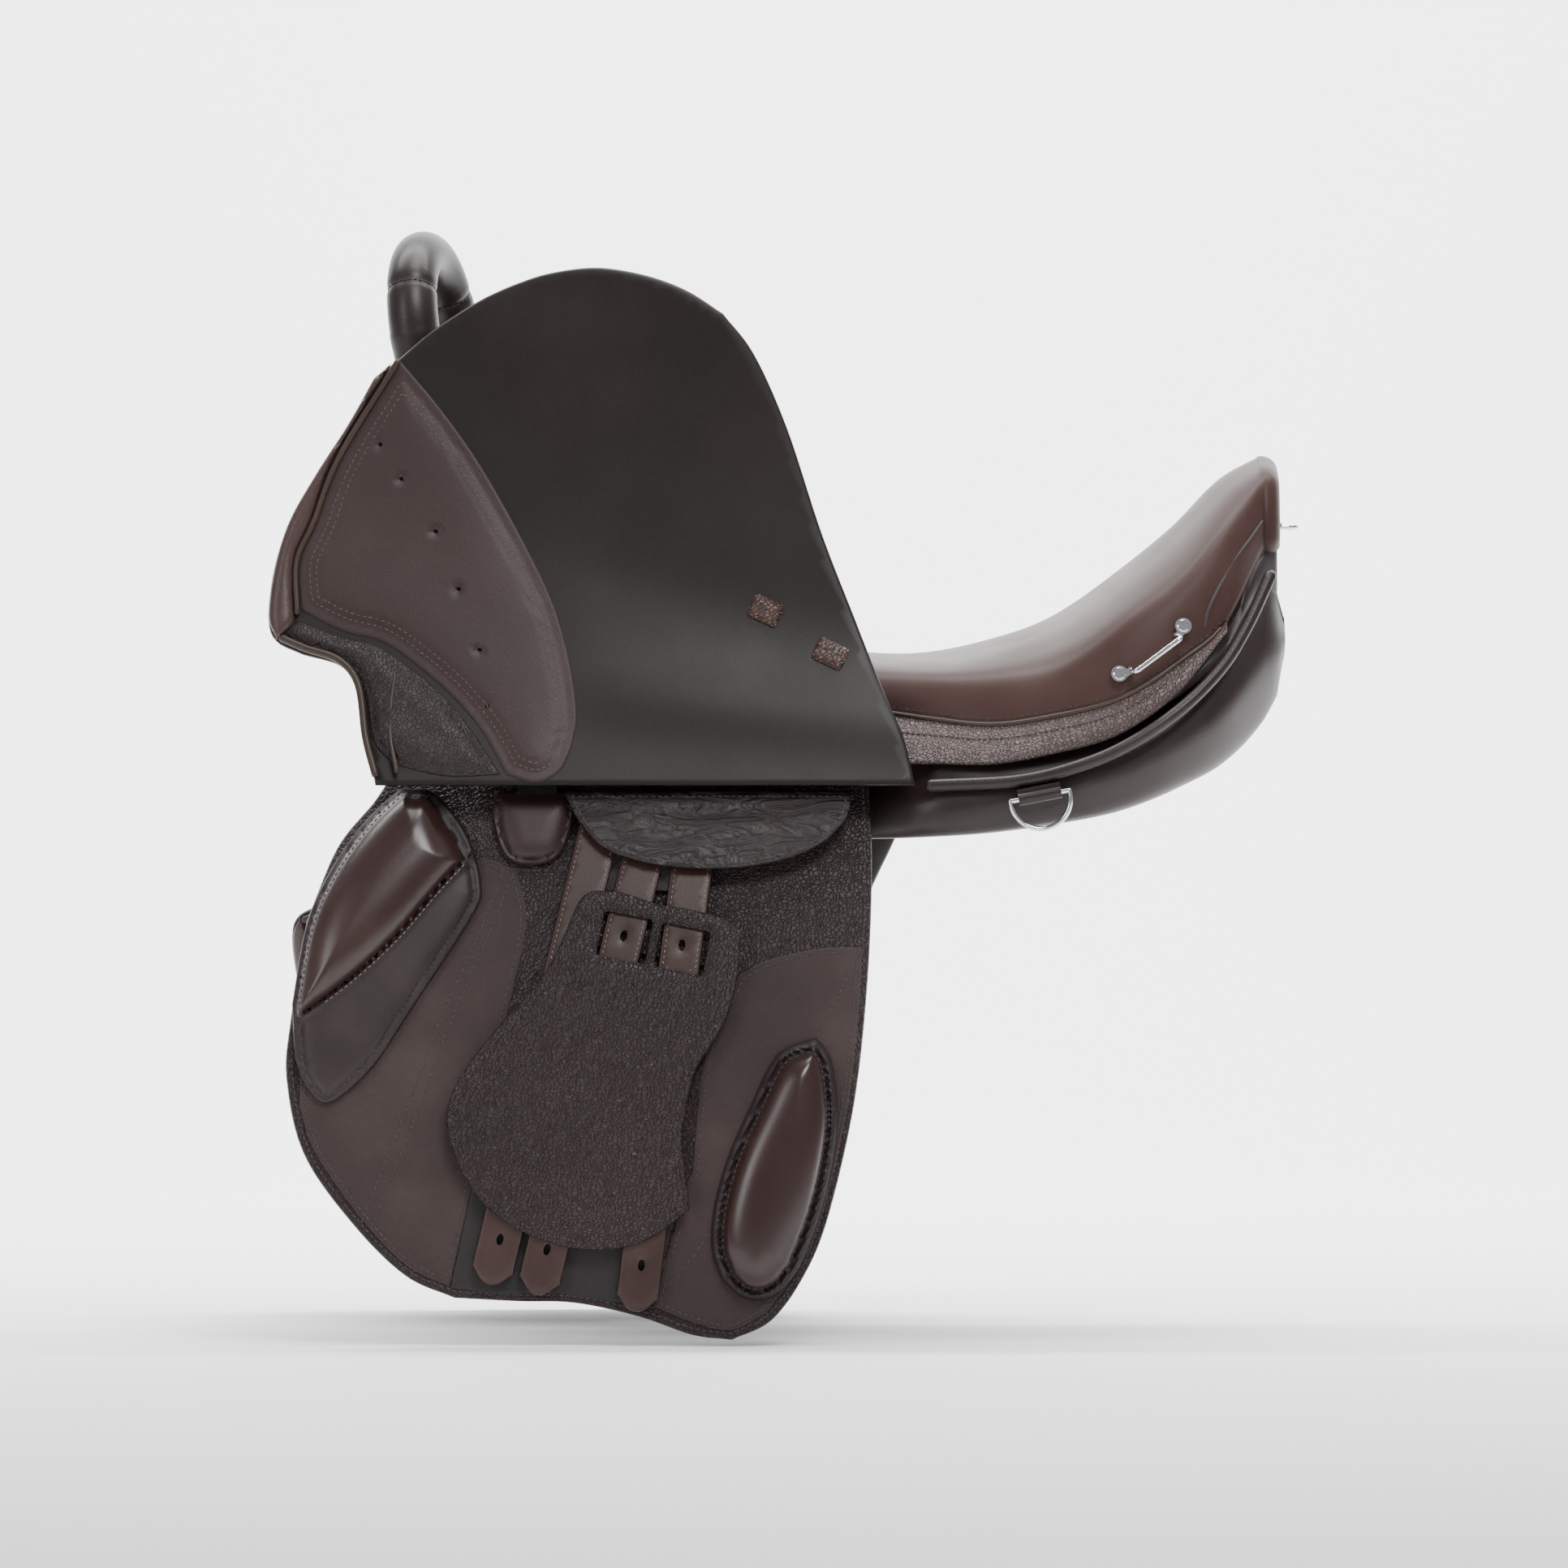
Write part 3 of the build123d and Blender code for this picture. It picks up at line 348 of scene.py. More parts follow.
# %% Outlines
def catmull(points, step, closed=False):
    """A smooth curve through points, sampled about every step."""
    p = np.array(points, float)
    ends = np.vstack([p[-1:], p, p[:2]]) if closed else np.vstack([2 * p[:1] - p[1:2], p,
                                                                   2 * p[-1:] - p[-2:-1]])
    out = []
    spans = len(p) if closed else len(p) - 1
    for i in range(spans):
        a, b, c, d = ends[i:i + 4]
        count = max(2, int(np.linalg.norm(c - b) / step))
        t = np.linspace(0, 1, count, endpoint=False)[:, None]
        square, cube = 2 * a - 5 * b + 4 * c - d, 3 * b - a - 3 * c + d
        out.append(0.5 * (2 * b + (c - a) * t + square * t**2 + cube * t**3))
    if not closed:
        out.append(p[-1:])
    return np.vstack(out)


def outline(strokes, step=3.0):
    """A closed loop from strokes that meet end to end."""
    loop = []
    for stroke in strokes:
        if len(stroke) == 2:
            a, b = np.array(stroke, float)
            count = max(2, int(np.linalg.norm(b - a) / step))
            points = a + (b - a) * np.linspace(0, 1, count + 1)[:, None]
        else:
            points = catmull(stroke, step)
        loop.append(points[:-1])
    return np.vstack(loop)


def edge_distance(points, loop):
    """Distance from each point to a closed loop."""
    a, b = loop, np.roll(loop, -1, axis=0)
    best = np.full(len(points), 1e9)
    for p, q in zip(a, b):
        d = q - p
        t = np.clip(((points - p) @ d) / max(d @ d, 1e-9), 0, 1)[:, None]
        best = np.minimum(best, np.linalg.norm(points - (p + t * d), axis=1))
    return best


def inside(points, loop):
    """Which points lie inside a closed loop."""
    x, y = points[:, 0], points[:, 1]
    hits = np.zeros(len(points), bool)
    for (x0, y0), (x1, y1) in zip(loop, np.roll(loop, -1, axis=0)):
        if y0 != y1:
            hits ^= ((y0 > y) != (y1 > y)) & (x < (x1 - x0) * (y - y0) / (y1 - y0) + x0)
    return hits


def signed_area(loop):
    x, y = loop[:, 0], loop[:, 1]
    return 0.5 * float(np.sum(x * np.roll(y, -1) - np.roll(x, -1) * y))


def inset(loop, distance):
    """A loop drawn in by a distance, without the points that would cross at tight corners."""
    side = 1 if signed_area(loop) > 0 else -1
    tangent = np.roll(loop, -1, axis=0) - np.roll(loop, 1, axis=0)
    tangent /= np.maximum(np.linalg.norm(tangent, axis=1), 1e-9)[:, None]
    moved = loop + distance * side * np.stack([-tangent[:, 1], tangent[:, 0]], axis=1)
    good = (edge_distance(moved, loop) > 0.94 * distance) & inside(moved, loop)
    return moved[good]


# %% Moulding an outline into a closed piece
def link_mesh(name, vertices, faces, material, smooth_angle=40):
    """A mesh object at the origin from millimetre points, normals outward."""
    mesh = bpy.data.meshes.new(name)
    mesh.from_pydata([tuple(v) for v in np.asarray(vertices) * MM], [], [tuple(f) for f in faces])
    work = bmesh.new()
    work.from_mesh(mesh)
    bmesh.ops.remove_doubles(work, verts=work.verts, dist=1e-7)
    bmesh.ops.recalc_face_normals(work, faces=work.faces)
    work.to_mesh(mesh)
    work.free()
    mesh.shade_smooth()
    mesh.set_sharp_from_angle(angle=radians(smooth_angle))
    mesh.materials.append(material)
    piece = bpy.data.objects.new(name, mesh)
    bpy.context.collection.objects.link(piece)
    return piece


def fill_outline(loop, spacing, holes=(), rings=(0.7, 1.8)):
    """Points and triangles inside a loop, with close rings at its edge."""
    low, high = loop.min(axis=0), loop.max(axis=0)
    rows = np.arange(low[1], high[1], spacing * 0.87)
    grid = [np.stack([np.arange(low[0] + (i % 2) * spacing / 2, high[0], spacing),
                      np.full(len(np.arange(low[0] + (i % 2) * spacing / 2, high[0], spacing)), z)], axis=1)
            for i, z in enumerate(rows)]
    grid = np.vstack(grid)
    keep = inside(grid, loop) & (edge_distance(grid, loop) > max(rings) + spacing * 0.45)
    for hole in holes:
        keep &= ~inside(grid, hole) & (edge_distance(grid, hole) > spacing * 0.5)
    loops = [loop, *holes]
    close = [inset(loop, ring) for ring in rings]
    points = np.vstack([*loops, *close, grid[keep]])
    edges, start = [], 0
    for ring in loops:
        edges += [(start + i, start + (i + 1) % len(ring)) for i in range(len(ring))]
        start += len(ring)
    result = delaunay_2d_cdt([Vector(p) for p in points], edges, [], 0, 1e-5)
    flat = np.array([tuple(v) for v in result[0]])
    triangles = np.array([f for f in result[2] if len(f) == 3])
    middle = flat[triangles].mean(axis=1)
    use = inside(middle, loop)
    for hole in holes:
        use &= ~inside(middle, hole)
    return flat, triangles[use]


def sheet_faces(triangles, count):
    """Faces of a closed sheet: its face, its back turned over, and a wall along each open edge."""
    sides = {}
    for t in triangles:
        for a, b in ((t[0], t[1]), (t[1], t[2]), (t[2], t[0])):
            if (b, a) in sides:
                del sides[(b, a)]
            else:
                sides[(a, b)] = True
    faces = [tuple(t) for t in triangles]
    faces += [(t[2] + count, t[1] + count, t[0] + count) for t in triangles]
    return faces + [(b, a, a + count, b + count) for a, b in sides]


def mould(name, loop, place, low, rise, material, spacing=4.0, holes=(), finish=None, rings=(0.7, 1.8),
          rim=None,
          hole_lip=0.0):
    """A closed piece on a surface: its back at height low, its face raised by rise(points, distance).
    rim is a second leather and the test, of points and distance, for where it shows."""
    flat, triangles = fill_outline(loop, spacing, holes, rings)
    depth = edge_distance(flat, loop)
    for hole in holes:
        near_hole = edge_distance(flat, hole)
        depth = np.where(near_hole < 1.6, np.minimum(depth, near_hole + hole_lip), depth)
    raised = rise(flat, depth)
    top = place(flat[:, 0], flat[:, 1], low + raised)
    back = place(flat[:, 0], flat[:, 1], low + 0 * raised)
    vertices = np.vstack([top, back])
    if finish is not None:
        vertices = finish(vertices)
    faces = sheet_faces(triangles, len(flat))
    piece = link_mesh(name, vertices, faces, material)
    if rim is not None:
        piece.data.materials.append(rim[0])
        middle = flat[triangles].mean(axis=1)
        outer = rim[1](middle, depth[triangles].mean(axis=1))
        index = np.concatenate([outer, outer, np.ones(len(faces) - 2 * len(triangles),
                                                      bool)]).astype(np.int32)
        piece.data.polygons.foreach_set("material_index", index)
    return piece


def rounded(thickness, radius=1.6, edge=0.45):
    """A flat sheet's height, rounded at its edge."""
    def rise(points, depth):
        t = np.clip(depth / radius, 0, 1)
        return thickness * (edge + (1 - edge) * np.sqrt(1 - (1 - t) ** 2))
    return rise


def join(name, pieces):
    """Several closed meshes as one object; the first one's materials hold for all."""
    work = bmesh.new()
    for piece in pieces:
        work.from_mesh(piece.data)
    mesh = bpy.data.meshes.new(name)
    work.to_mesh(mesh)
    work.free()
    for material in pieces[0].data.materials:
        mesh.materials.append(material)
    for piece in pieces:
        bpy.data.objects.remove(piece)
    whole = bpy.data.objects.new(name, mesh)
    bpy.context.collection.objects.link(whole)
    return whole


def dress(piece, body, node=None):
    """Give a finished piece to its body and the node it stands for."""
    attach(piece, body)
    if node:
        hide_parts(node)
    return piece


def pair(label, make, body, flap=False):
    """Make one piece for each side and give each to its body."""
    made = []
    for side in ("near", "off"):
        finish = None if side == "near" else (off_flap if flap else off_barrel)
        piece = make(f"{side}_{label}_leather", finish)
        node = f"{side}_{label}"
        dress(piece, body.replace("SIDE", side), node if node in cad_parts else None)
        made.append(piece)
    return made


print("helpers ready")

# %% [markdown]
# ## Stitches
# A saddler's seam is a row of short stitches. One Geometry Nodes tree lays a small oval bead at even
# steps along any seam line and turns it along the line, so a seam is only a path and a pitch.


# %% The stitch tree
def stitch_tree():
    tree = bpy.data.node_groups.new("stitch_row", "GeometryNodeTree")
    face = tree.interface
    face.new_socket("Geometry", in_out="INPUT", socket_type="NodeSocketGeometry")
    pitch = face.new_socket("Pitch", in_out="INPUT", socket_type="NodeSocketFloat")
    length = face.new_socket("Length", in_out="INPUT", socket_type="NodeSocketFloat")
    width = face.new_socket("Width", in_out="INPUT", socket_type="NodeSocketFloat")
    thread = face.new_socket("Thread", in_out="INPUT", socket_type="NodeSocketMaterial")
    face.new_socket("Geometry", in_out="OUTPUT", socket_type="NodeSocketGeometry")
    new, link = tree.nodes.new, tree.links.new
    entry, leave = new("NodeGroupInput"), new("NodeGroupOutput")
    curve = new("GeometryNodeMeshToCurve")
    even = new("GeometryNodeResampleCurve")
    even.mode = "LENGTH"
    tangent = new("GeometryNodeInputTangent")
    align = new("FunctionNodeAlignRotationToVector")
    align.axis = "Z"
    bead = new("GeometryNodeMeshUVSphere")
    bead.inputs["Segments"].default_value = 6
    bead.inputs["Rings"].default_value = 5
    bead.inputs["Radius"].default_value = 0.5
    size = new("ShaderNodeCombineXYZ")
    place = new("GeometryNodeInstanceOnPoints")
    real = new("GeometryNodeRealizeInstances")
    colour = new("GeometryNodeSetMaterial")
    link(entry.outputs["Geometry"], curve.inputs["Mesh"])
    link(curve.outputs[0], even.inputs["Curve"])
    link(entry.outputs["Pitch"], even.inputs["Length"])
    link(even.outputs[0], place.inputs["Points"])
    link(bead.outputs["Mesh"], place.inputs["Instance"])
    link(tangent.outputs[0], align.inputs["Vector"])
    link(align.outputs[0], place.inputs["Rotation"])
    link(entry.outputs["Width"], size.inputs["X"])
    link(entry.outputs["Width"], size.inputs["Y"])
    link(entry.outputs["Length"], size.inputs["Z"])
    link(size.outputs[0], place.inputs["Scale"])
    link(place.outputs[0], real.inputs[0])
    link(real.outputs[0], colour.inputs["Geometry"])
    link(entry.outputs["Thread"], colour.inputs["Material"])
    link(colour.outputs[0], leave.inputs[0])
    return tree, [s.identifier for s in (pitch, length, width, thread)]


STITCH_TREE, STITCH_KEYS = stitch_tree()


def sew(name, paths, body, slot, thread=None, pitch=4.0, length=2.9, width=1.0):
    """Rows of stitches along millimetre paths, as one plain mesh."""
    vertices, edges = [], []
    for path in paths:
        start = len(vertices)
        vertices += [tuple(p * MM) for p in path]
        edges += [(start + i, start + i + 1) for i in range(len(path) - 1)]
    mesh = bpy.data.meshes.new(name + "_path")
    mesh.from_pydata(vertices, edges, [])
    source = bpy.data.objects.new(name + "_path", mesh)
    bpy.context.collection.objects.link(source)
    modifier = source.modifiers.new("stitches", "NODES")
    modifier.node_group = STITCH_TREE
    for key, value in zip(STITCH_KEYS, (pitch * MM, length * MM, width * MM, thread or DARK_THREAD)):
        modifier[key] = value
    ready = source.evaluated_get(bpy.context.evaluated_depsgraph_get())
    plain = bpy.data.meshes.new_from_object(ready)
    plain.name = name
    plain.shade_smooth()
    piece = bpy.data.objects.new(name, plain)
    bpy.context.collection.objects.link(piece)
    bpy.data.objects.remove(source)
    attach(piece, body)
    return piece


def seam_on(place, line, height):
    """A seam line in the side view, laid on a surface at a height."""
    line = np.asarray(line, float)
    return place(line[:, 0], line[:, 1], np.full(len(line), float(height)))


def sew_pair(label, place, lines, height, body, slot, flap=False, **thread):
    """The same seams on both sides."""
    for side in ("near", "off"):
        rows = [seam_on(place, line, height) for line in lines]
        if side == "off":
            rows = [(off_flap if flap else off_barrel)(row) for row in rows]
        sew(f"{side}_{label}_stitches", rows, body.replace("SIDE", side), slot, **thread)


def closed(loop):
    return np.vstack([loop, loop[:1]])

# %% [markdown]
# ## The seat
# The seat is a lofted skin: each station across it is a smooth curve from one seam, up over the ridge and
# across the crown. Interpolating the stations along X gives the dip and the sweep up to the cantle.
# The cover, skirts, panels and welts are all lofts of this kind, so they share one function, which takes
# rings of points and closes the ends.


# %% Lofts through stations
def smooth_table(stations, count):
    """Each column of a station table as a smooth curve, sampled evenly."""
    data = np.array(stations, float)
    slope = np.gradient(data, data[:, 0], axis=0)
    x = np.linspace(data[0, 0], data[-1, 0], count)
    i = np.clip(np.searchsorted(data[:, 0], x, side="right") - 1, 0, len(data) - 2)
    h = (data[i + 1, 0] - data[i, 0])[:, None]
    t = ((x - data[i, 0])[:, None]) / h
    a, b = 2 * t**3 - 3 * t**2 + 1, -2 * t**3 + 3 * t**2
    leave, arrive = t**3 - 2 * t**2 + t, t**3 - t**2
    return a * data[i] + b * data[i + 1] + leave * h * slope[i] + arrive * h * slope[i + 1]


def loft_rings(name, rings, material, caps=True, smooth_angle=50):
    """A closed piece from rings of equal count, flat or domed ends."""
    rings = [np.asarray(r, float) for r in rings]
    n = len(rings[0])
    vertices = list(np.vstack(rings))
    faces = []
    for i in range(len(rings) - 1):
        for j in range(n):
            k = (j + 1) % n
            faces.append((i * n + j, i * n + k, (i + 1) * n + k, (i + 1) * n + j))
    if caps:
        for ring, order in ((0, 1), (len(rings) - 1, -1)):
            centre = len(vertices)
            vertices.append(rings[ring].mean(axis=0))
            for j in range(n):
                a, b = ring * n + j, ring * n + (j + 1) % n
                faces.append((centre, b, a) if order > 0 else (centre, a, b))
    return link_mesh(name, vertices, faces, material, smooth_angle)


def resample(points, count):
    """A polyline with a given number of evenly spaced points."""
    points = np.asarray(points, float)
    along = np.concatenate([[0], np.cumsum(np.linalg.norm(np.diff(points, axis=0), axis=1))])
    where = np.linspace(0, along[-1], count)
    return np.stack([np.interp(where, along, points[:, k]) for k in range(points.shape[1])], axis=1)


# %% Seat cover
SEAT_STATIONS = [
    (-292, 148, 52, 140, 66, 96), (-262, 152, 60, 142, 74, 92), (-200, 128, 62, 116, 78, 82),
    (-120, 101, 72, 88, 88, 64), (-40, 86, 92, 72, 104, 52), (20, 83, 104, 66, 114, 42),
    (64, 92, 114, 66, 126, 38), (93, 102, 118, 70, 130, 42), (145, 137, 122, 101, 134, 57),
    (174, 161, 114, 121, 126, 76), (203, 190, 92, 152, 108, 101), (228, 204, 56, 186, 66, 150),
]


def seat_curve(station, count=61):
    """The seat's top in its end view, seam to seam, at one station."""
    crown, ridge_y, ridge_z, seam_y, seam_z = station[1:]
    shoulder = ridge_z + 0.72 * (crown - ridge_z)
    half = [(seam_y, seam_z), ((seam_y + ridge_y) / 2 + 3.0, (seam_z + ridge_z) / 2), (ridge_y, ridge_z),
            (ridge_y * 0.82, ridge_z + 0.32 * (crown - ridge_z) + 1.5), (ridge_y / 2, shoulder)]
    line = [(-y, z) for y, z in half] + [(0, crown)] + half[::-1]
    return resample(catmull(line, 1.5), count)


def make_seat():
    rings = []
    for row in smooth_table(SEAT_STATIONS, 150):
        top = seat_curve(row)
        under = top * [0.965, 1] - [0, 3.2]
        ring = np.vstack([top, under[::-1]])
        rings.append(np.column_stack([np.full(len(ring), row[0]), ring]))
    return loft_rings("seat_cover_leather", rings, SEAT_HIDE)


def make_cantle():
    """The rolled leather that closes the seat's back, drawn in toward its middle."""
    last = np.array(SEAT_STATIONS[-1], float)
    top = seat_curve(last)
    bottom = np.column_stack([np.linspace(top[-1, 0], top[0, 0], 24)[1:-1], np.full(22, top[0, 1] - 8)])
    ring = np.vstack([top, bottom])
    middle = np.array([0, 168.0])
    rings = []
    for angle in np.radians([-12, 0, 20, 40, 58, 74, 86]):
        size = 0.985 if angle < 0 else 0.76 + 0.24 * cos(angle)
        flat = middle + (ring - middle) * size
        rings.append(np.column_stack([np.full(len(flat), last[0] + 10 * sin(angle)), flat]))
    return loft_rings("cantle_back_leather", rings, SEAT_HIDE, smooth_angle=60)


def make_gusset():
    """The leather that fills the back of the saddle, between the cantle and the panels."""
    stations = [(150, 124, 36, 60), (174, 120, 50, 77), (203, 102, 76, 102), (222, 74, 104, 140),
                (236, 52, 108, 152)]
    rings = []
    for x, half, low, high in smooth_table(stations, 40):
        corners = [(-half, low + 6), (-half * 0.92, high), (0, high + 6), (half * 0.92, high),
                   (half, low + 6), (0, low)]
        loop = catmull(corners, 3.0, closed=True)
        loop = resample(np.vstack([loop, loop[:1]]), 49)[:-1]
        rings.append(np.column_stack([np.full(48, x), loop]))
    return loft_rings("cantle_gusset_leather", rings, PANEL_HIDE)


def make_facing():
    """The leather across the front of the pommel, arched over the gullet."""
    front = SEAT_STATIONS[0]
    top = seat_curve(front) * [0.96, 1] - [0, 2.0]
    y = np.linspace(top[-1, 0], top[0, 0], 26)[1:-1]
    arch = np.column_stack([y, top[0, 1] + 20 * (1 - (y / top[0, 0]) ** 2)])
    ring = np.vstack([top, arch])
    rings = [np.column_stack([np.full(len(ring), front[0] + inward), ring]) for inward in (0.8, 3.4)]
    return loft_rings("pommel_facing_leather", rings, SEAT_HIDE, smooth_angle=30)


dress(make_facing(), "root")
seat = dress(make_seat(), "root", "seat_cover")
dress(make_cantle(), "root", "cantle_back")
dress(make_gusset(), "root")
print("seat", len(seat.data.vertices))

# %% Skirts
SKIRT_EDGE = [
    (-262, 130, 15), (-200, 131, 14), (-120, 132, 14), (-40, 133, 14), (20, 134, 14), (64, 141, 14),
    (93, 143, 19), (145, 143, 36), (174, 136, 58), (203, 118, 94),
]


def skirt_table(count=110):
    """Seam and edge of the skirt along X: x, seam y, seam z, edge y, edge z."""
    edge = smooth_table(SKIRT_EDGE, count)
    seam = smooth_table(SEAT_STATIONS, 600)
    seam_y = np.interp(edge[:, 0], seam[:, 0], seam[:, 4])
    seam_z = np.interp(edge[:, 0], seam[:, 0], seam[:, 5])
    return np.column_stack([edge[:, 0], seam_y, seam_z, edge[:, 1], edge[:, 2]])


SKIRT_ROWS = skirt_table()


def skirt_point(row, t, lift=0.0):
    """A point down the skirt: t is 0 at the seat's seam and 1 at its lower edge."""
    x, seam_y, seam_z, edge_y, edge_z = row
    bulge = 2.4 * sin(pi * min(max(t, 0), 1))
    return (x, -(seam_y + (edge_y - seam_y) * t + bulge + lift), seam_z + (edge_z - seam_z) * t)


def make_skirt(name, finish):
    rings = []
    for row in SKIRT_ROWS:
        steps = np.linspace(0, 1, 26)
        outer = [skirt_point(row, t, -1.4 * (1 - sqrt(max(0,
                                                          1 - max(0,
                                                                  (t - 0.96) / 0.04) ** 2)))) for t in steps]
        inner = [(x, y + 3.0 - (1.2 if t > 0.97 else 0), z) for (x, y, z), t in zip(outer, steps)]
        ring = np.array(outer + inner[::-1])
        rings.append(finish(ring) if finish else ring)
    return loft_rings(name, rings, SKIRT_HIDE)


pair("skirt", make_skirt, "root")

# %% Panels
PANEL_STATIONS = [
    (-300, 66, -18, 92, 84), (-262, 52, -26, 96, 96), (-200, 44, -28, 96, 106), (-120, 36, -30, 92, 110),
    (-14, 30, -31, 98, 114), (20, 28, -30, 128, 136), (64, 26, -27, 138, 138), (93, 30, -23, 139, 136),
    (145, 42, -12, 138, 130), (174, 58, 0, 130, 118), (203, 86, 16, 112, 98), (220, 112, 32, 94, 81),
    (231, 124, 47, 80, 69), (237, 116, 60, 70, 61), (240, 105, 77, 60, 53),
]


def panel_ring(row, count=48):
    x, top, bottom, outer, foot = row
    height, gullet = top - bottom, 36.0
    corners = [
        (-gullet, top - 0.18 * height), (-(gullet + outer) / 2, top), (-(outer - 12), top - 0.12 * height),
        (-outer, top - 0.45 * height), (-(outer + foot) / 2 - 3, bottom + 0.3 * height),
               (-(foot - 8), bottom),
        (-(gullet + foot) / 2 + 4, bottom + 0.14 * height), (-(gullet + 3), bottom + 0.46 * height),
    ]
    loop = catmull(corners, 2.0, closed=True)
    loop = resample(np.vstack([loop, loop[:1]]), count + 1)[:-1]
    return np.column_stack([np.full(count, x), loop])


def make_panel(name, finish):
    rows = smooth_table(PANEL_STATIONS, 130)
    rings = [panel_ring(row) for row in rows]
    first, last = rings[0], rings[-1]
    front = [first.mean(axis=0) + (first - first.mean(axis=0)) * s + [-d, 0, 0] for s,
             d in ((0.7, 1.8), (0.92, 1.1))]
    rear = [last.mean(axis=0) + (last - last.mean(axis=0)) * s + [d, 0, 0] for s,
            d in ((0.9, 0.6), (0.6, 1.0))]
    rings = front + rings + rear
    if finish:
        rings = [finish(r) for r in rings]
    return loft_rings(name, rings, PANEL_HIDE)


pair("panel", make_panel, "root")

# %% Piping along the panel's edge
WELT_LINE = [(24, 139, 1), (76, 145, 4), (113, 148, 13), (143, 147, 26), (174, 140, 47), (199, 124, 72),
             (215, 108, 97), (230, 90, 128)]


def tube(name, path, radius, material, sides=16, taper=True, wobble=0.0):
    """A round cord along a path, with closed rounded ends."""
    path = np.asarray(path, float)
    tangent = np.gradient(path, axis=0)
    tangent /= np.linalg.norm(tangent, axis=1)[:, None]
    up = np.array([0, 0, 1.0]) if abs(tangent[0][2]) < 0.9 else np.array([0, 1.0, 0])
    rings = []
    normal = np.cross(tangent[0], up)
    normal /= np.linalg.norm(normal)
    angles = np.linspace(0, 2 * pi, sides, endpoint=False)
    radii = radius if np.ndim(radius) else np.full(len(path), float(radius))
    for i, (point, t) in enumerate(zip(path, tangent)):
        normal = normal - t * (normal @ t)
        normal /= np.linalg.norm(normal)
        other = np.cross(t, normal)
        r = radii[i] * (1 + wobble * sin(i * 1.7) * sin(i * 0.37))
        rings.append(point + r * (np.outer(np.cos(angles), normal) + np.outer(np.sin(angles), other)))
    if taper:
        start = [path[0] - tangent[0] * d + (rings[0] - path[0]) * s for s,
                 d in ((0.5, 0.87 * radii[0]), (0.87, 0.5 * radii[0]))]
        end = [path[-1] + tangent[-1] * d + (rings[-1] - path[-1]) * s
               for s, d in ((0.87, 0.5 * radii[-1]), (0.5, 0.87 * radii[-1]))]
        rings = start + rings + end
    return loft_rings(name, rings, material)


def make_welt(name, finish):
    path = catmull([(x, -y, z) for x, y, z in WELT_LINE], 3.0)
    return tube(name, finish(path) if finish else path, 3.9, PANEL_HIDE)


pair("panel_welt", make_welt, "root")

# %% [markdown]
# ## The sweat flap and what is sewn to it
# These pieces are the outlines of the saddler's pattern, moulded on the barrel. The suede patches are thin
# sheets with a row of stitches just inside their edges.

# %% Sweat flap
SWEAT = outline([
    [(-300, 12), (-14, 12)],
    [(-14, 12), (-12, -50), (-15, -120), (-23, -190), (-38, -255), (-52, -290), (-72, -318), (-96, -330)],
    [(-96, -330), (-120, -327), (-152, -316), (-190, -308), (-224, -307), (-262, -305)],
    [(-262, -305), (-291, -292), (-322, -262), (-352, -220), (-363, -175), (-361, -140), (-352, -80)],
    [(-352, -80), (-334, -36), (-312, -8), (-300, 12)],
])
FRONT_PATCH = outline([
    [(-226, -50), (-220, -82), (-231, -137), (-252, -240), (-265, -298)],
    [(-265, -298), (-291, -285), (-319, -256), (-346, -217), (-355, -190)],
    [(-355, -190), (-352, -160), (-330, -125), (-300, -88), (-270, -60), (-246, -42)],
    [(-246, -42), (-226, -50)],
])
REAR_PATCH = outline([
    [(-18, -96), (-45, -97), (-75, -104), (-92, -113)],
    [(-92, -113), (-112, -160), (-120, -230), (-122, -234), (-143, -310)],
    [(-143, -310), (-118, -320), (-96, -324), (-76, -314)],
    [(-76, -314), (-56, -287), (-42, -254), (-27, -190), (-20, -130), (-18, -96)],
])
SHEET, PATCH = 3.5, 1.2
PATCH_TOP = SHEET + PATCH


def barrel_piece(loop, low, rise, material, **options):
    """A maker of near and off pieces on the barrel."""
    def make(name, finish):
        return mould(name, loop, on_barrel, low, rise, material, finish=finish, **options)
    return make


pair("sweat_flap", barrel_piece(SWEAT, 0, rounded(SHEET), GRAINED_HIDE, spacing=5.0), "root")
pair("front_suede_patch", barrel_piece(FRONT_PATCH, SHEET, rounded(PATCH, 1.0), SUEDE_HIDE), "root")
pair("rear_suede_patch", barrel_piece(REAR_PATCH, SHEET, rounded(PATCH, 1.0), SUEDE_HIDE), "root")
print("sweat flaps and patches done")

# %% Knee and thigh blocks
KNEE = outline([
    [(-290, -1), (-276, -3), (-256, -28), (-247, -58), (-252, -77), (-287, -131)],
    [(-287, -131), (-311, -167), (-335, -188), (-347, -184), (-357, -165), (-360, -130)],
    [(-360, -130), (-352, -83), (-338, -50), (-318, -21), (-297, -1), (-290, -1)],
])
THIGH = outline([
    [(-46, -150), (-69, -160), (-85, -190), (-99, -222), (-107, -252), (-108, -276), (-102, -294)],
    [(-102, -294), (-91, -304), (-78, -306), (-66, -300), (-56, -288)],
    [(-56, -288), (-46, -263), (-38, -235), (-33, -203), (-34, -177), (-38, -160), (-46, -150)],
])
RIDGE = catmull([(-252, -38), (-273, -61), (-296, -88), (-319, -110), (-338, -125), (-354, -136)], 2.0)


